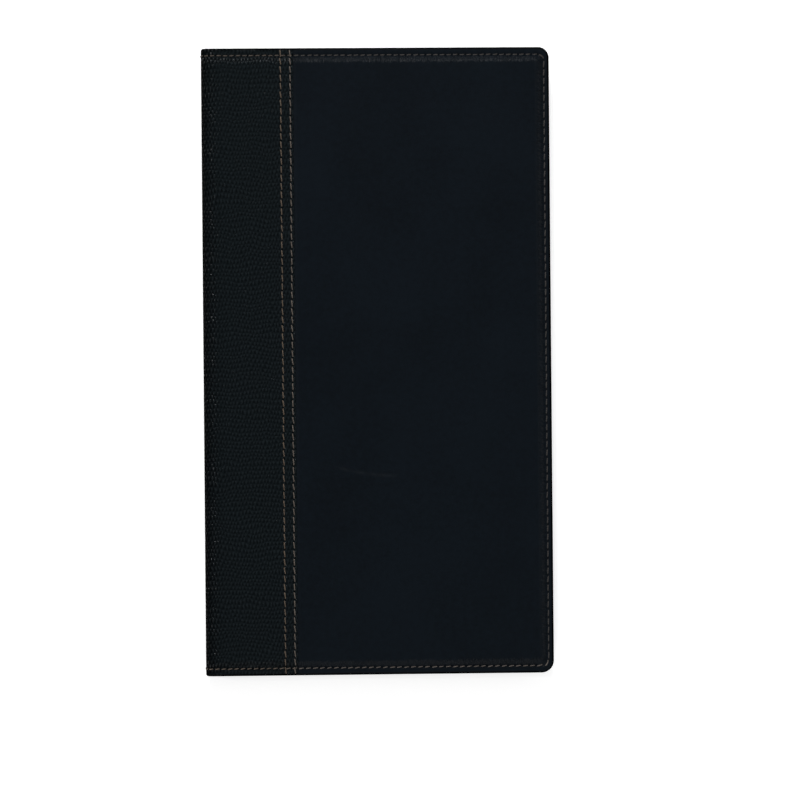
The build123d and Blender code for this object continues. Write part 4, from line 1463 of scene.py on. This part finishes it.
class PRESENTER_OT_stage(bpy.types.Operator):
    """Make the pale floor, the light and the camera"""

    bl_idname = "presenter.stage"
    bl_label = "Stage"

    def execute(self, context):
        scene = context.scene
        stage = scene.presenter_stage
        scene.view_settings.view_transform = "Standard"
        self.floor(stage)
        self.room(scene, stage)
        area_light("key_light", (-0.15, 1.05, 0.78), (0.0, 0.0, 0.0), 0.5, stage.key)
        area_light("rim_light", (-0.90, 0.10, 0.95), (0.0, 0.0, 0.0), 0.06, stage.rim)
        area_light("fill_right", (0.95, 0.15, 0.95), (0.0, 0.0, 0.0), 0.8, 0.3 * stage.fill)
        area_light("fill_low", (-0.15, -1.00, 0.77), (0.0, 0.0, 0.0), 0.8, stage.fill)
        self.camera(scene, stage)
        return {"FINISHED"}

    def floor(self, stage):
        """A wide plane. To the camera it is mostly an even white, and the rest of it takes the object's shadow."""
        material = bpy.data.materials.new("floor")
        material.use_nodes = True
        g = Graph(material.node_tree)
        shader = material.node_tree.nodes["Principled BSDF"]
        place = g.scaled(g.node("ShaderNodeTexCoord").outputs["Object"], 1.0)
        tone = g.mix(g.noise(place, 3.0), (0.80, 0.80, 0.80, 1.0), (0.84, 0.84, 0.84, 1.0))
        g.tree.links.new(tone, shader.inputs["Base Color"])
        set_shader(shader, Roughness=1.0, Specular_IOR_Level=0.0)
        path = g.node("ShaderNodeLightPath").outputs
        seen = g.math("MAXIMUM", path["Is Camera Ray"], g.math("MAXIMUM", path["Is Glossy Ray"], path["Is Transmission Ray"]))
        glow = g.node("ShaderNodeEmission", {"Strength": g.math("MULTIPLY", seen, stage.floor_glow)})
        both = g.node("ShaderNodeAddShader", {0: shader.outputs[0], 1: glow.outputs[0]})
        g.tree.links.new(both.outputs[0], material.node_tree.nodes["Material Output"].inputs["Surface"])
        half = 4.0
        corner = np.array([[-half, -half, 0], [half, -half, 0], [half, half, 0], [-half, half, 0]]) - [0, 0, 0.00005]
        floor = new_piece("floor", corner, np.array([[0, 1, 2, 3]]), material)

    def room(self, scene, stage):
        """World light: white to the camera, and a dim even glow on the object."""
        world = scene.world or bpy.data.worlds.new("room")
        scene.world = world
        world.use_nodes = True
        g = Graph(world.node_tree)
        out = world.node_tree.nodes.get("World Output") or g.node("ShaderNodeOutputWorld")
        path = g.node("ShaderNodeLightPath").outputs
        strength = g.math("MULTIPLY_ADD", path["Is Camera Ray"], 1.0 - stage.room, stage.room)
        glow = g.node("ShaderNodeBackground", {"Color": (1, 1, 1, 1), "Strength": strength})
        g.tree.links.new(glow.outputs[0], out.inputs["Surface"])

    def camera(self, scene, stage):
        """A camera straight above, a little toward the spine, turned slightly so that the presenter leans left."""
        data = bpy.data.cameras.new("camera")
        data.sensor_width = 36.0
        data.lens = stage.distance * 36.0 / 0.2914
        data.clip_start, data.clip_end = 0.05, 20.0
        camera = bpy.data.objects.new("camera", data)
        target = Vector((0.0079, -0.01425, THICKNESS))
        tilt = np.radians(2.64)
        back = Vector((-np.sin(tilt), 0.0, np.cos(tilt)))
        right = Vector((np.cos(tilt), 0.0, np.sin(tilt)))
        roll = np.radians(-0.50)
        side = right * np.cos(roll) + Vector((0, 1, 0)) * np.sin(roll)
        up = back.cross(side)
        turn = Matrix((side, up, back)).transposed().to_4x4()
        camera.matrix_world = Matrix.Translation(target + back * stage.distance) @ turn
        scene.collection.objects.link(camera)
        scene.camera = camera


class PRESENTER_PT_sidebar(bpy.types.Panel):
    """Sizes, colours and steps of the presenter"""

    bl_idname = "PRESENTER_PT_sidebar"
    bl_label = "Check presenter"
    bl_space_type = "VIEW_3D"
    bl_region_type = "UI"
    bl_category = "Presenter"

    def draw(self, context):
        scene = context.scene
        for group in (scene.presenter_cover, scene.presenter_stitches, scene.presenter_pockets):
            self.list_group(group)
        self.list_group(scene.presenter_finishes)
        self.list_group(scene.presenter_stage)
        for step in STEPS:
            self.layout.operator(step.bl_idname)

    def list_group(self, group):
        box = self.layout.box()
        for name in group.__annotations__:
            box.prop(group, name)


GROUPS = {
    "presenter_cover": CoverSizes,
    "presenter_stitches": StitchSizes,
    "presenter_pockets": PocketSizes,
    "presenter_finishes": Finishes,
    "presenter_stage": StageSettings,
}
STEPS = (
    PRESENTER_OT_stage,
    PRESENTER_OT_panels,
    PRESENTER_OT_bands,
    PRESENTER_OT_padding,
    PRESENTER_OT_linings,
    PRESENTER_OT_pockets,
    PRESENTER_OT_stitching,
)


def register():
    for kind in (*GROUPS.values(), *STEPS, PRESENTER_PT_sidebar):
        bpy.utils.register_class(kind)
    for name, kind in GROUPS.items():
        setattr(bpy.types.Scene, name, PointerProperty(type=kind))


def unregister():
    for name in GROUPS:
        delattr(bpy.types.Scene, name)
    for kind in (PRESENTER_PT_sidebar, *STEPS[::-1], *list(GROUPS.values())[::-1]):
        bpy.utils.unregister_class(kind)


def main():
    register()
    for step in STEPS:
        group, name = step.bl_idname.split(".")
        getattr(getattr(bpy.ops, group), name)()


if __name__ == "__main__":
    main()
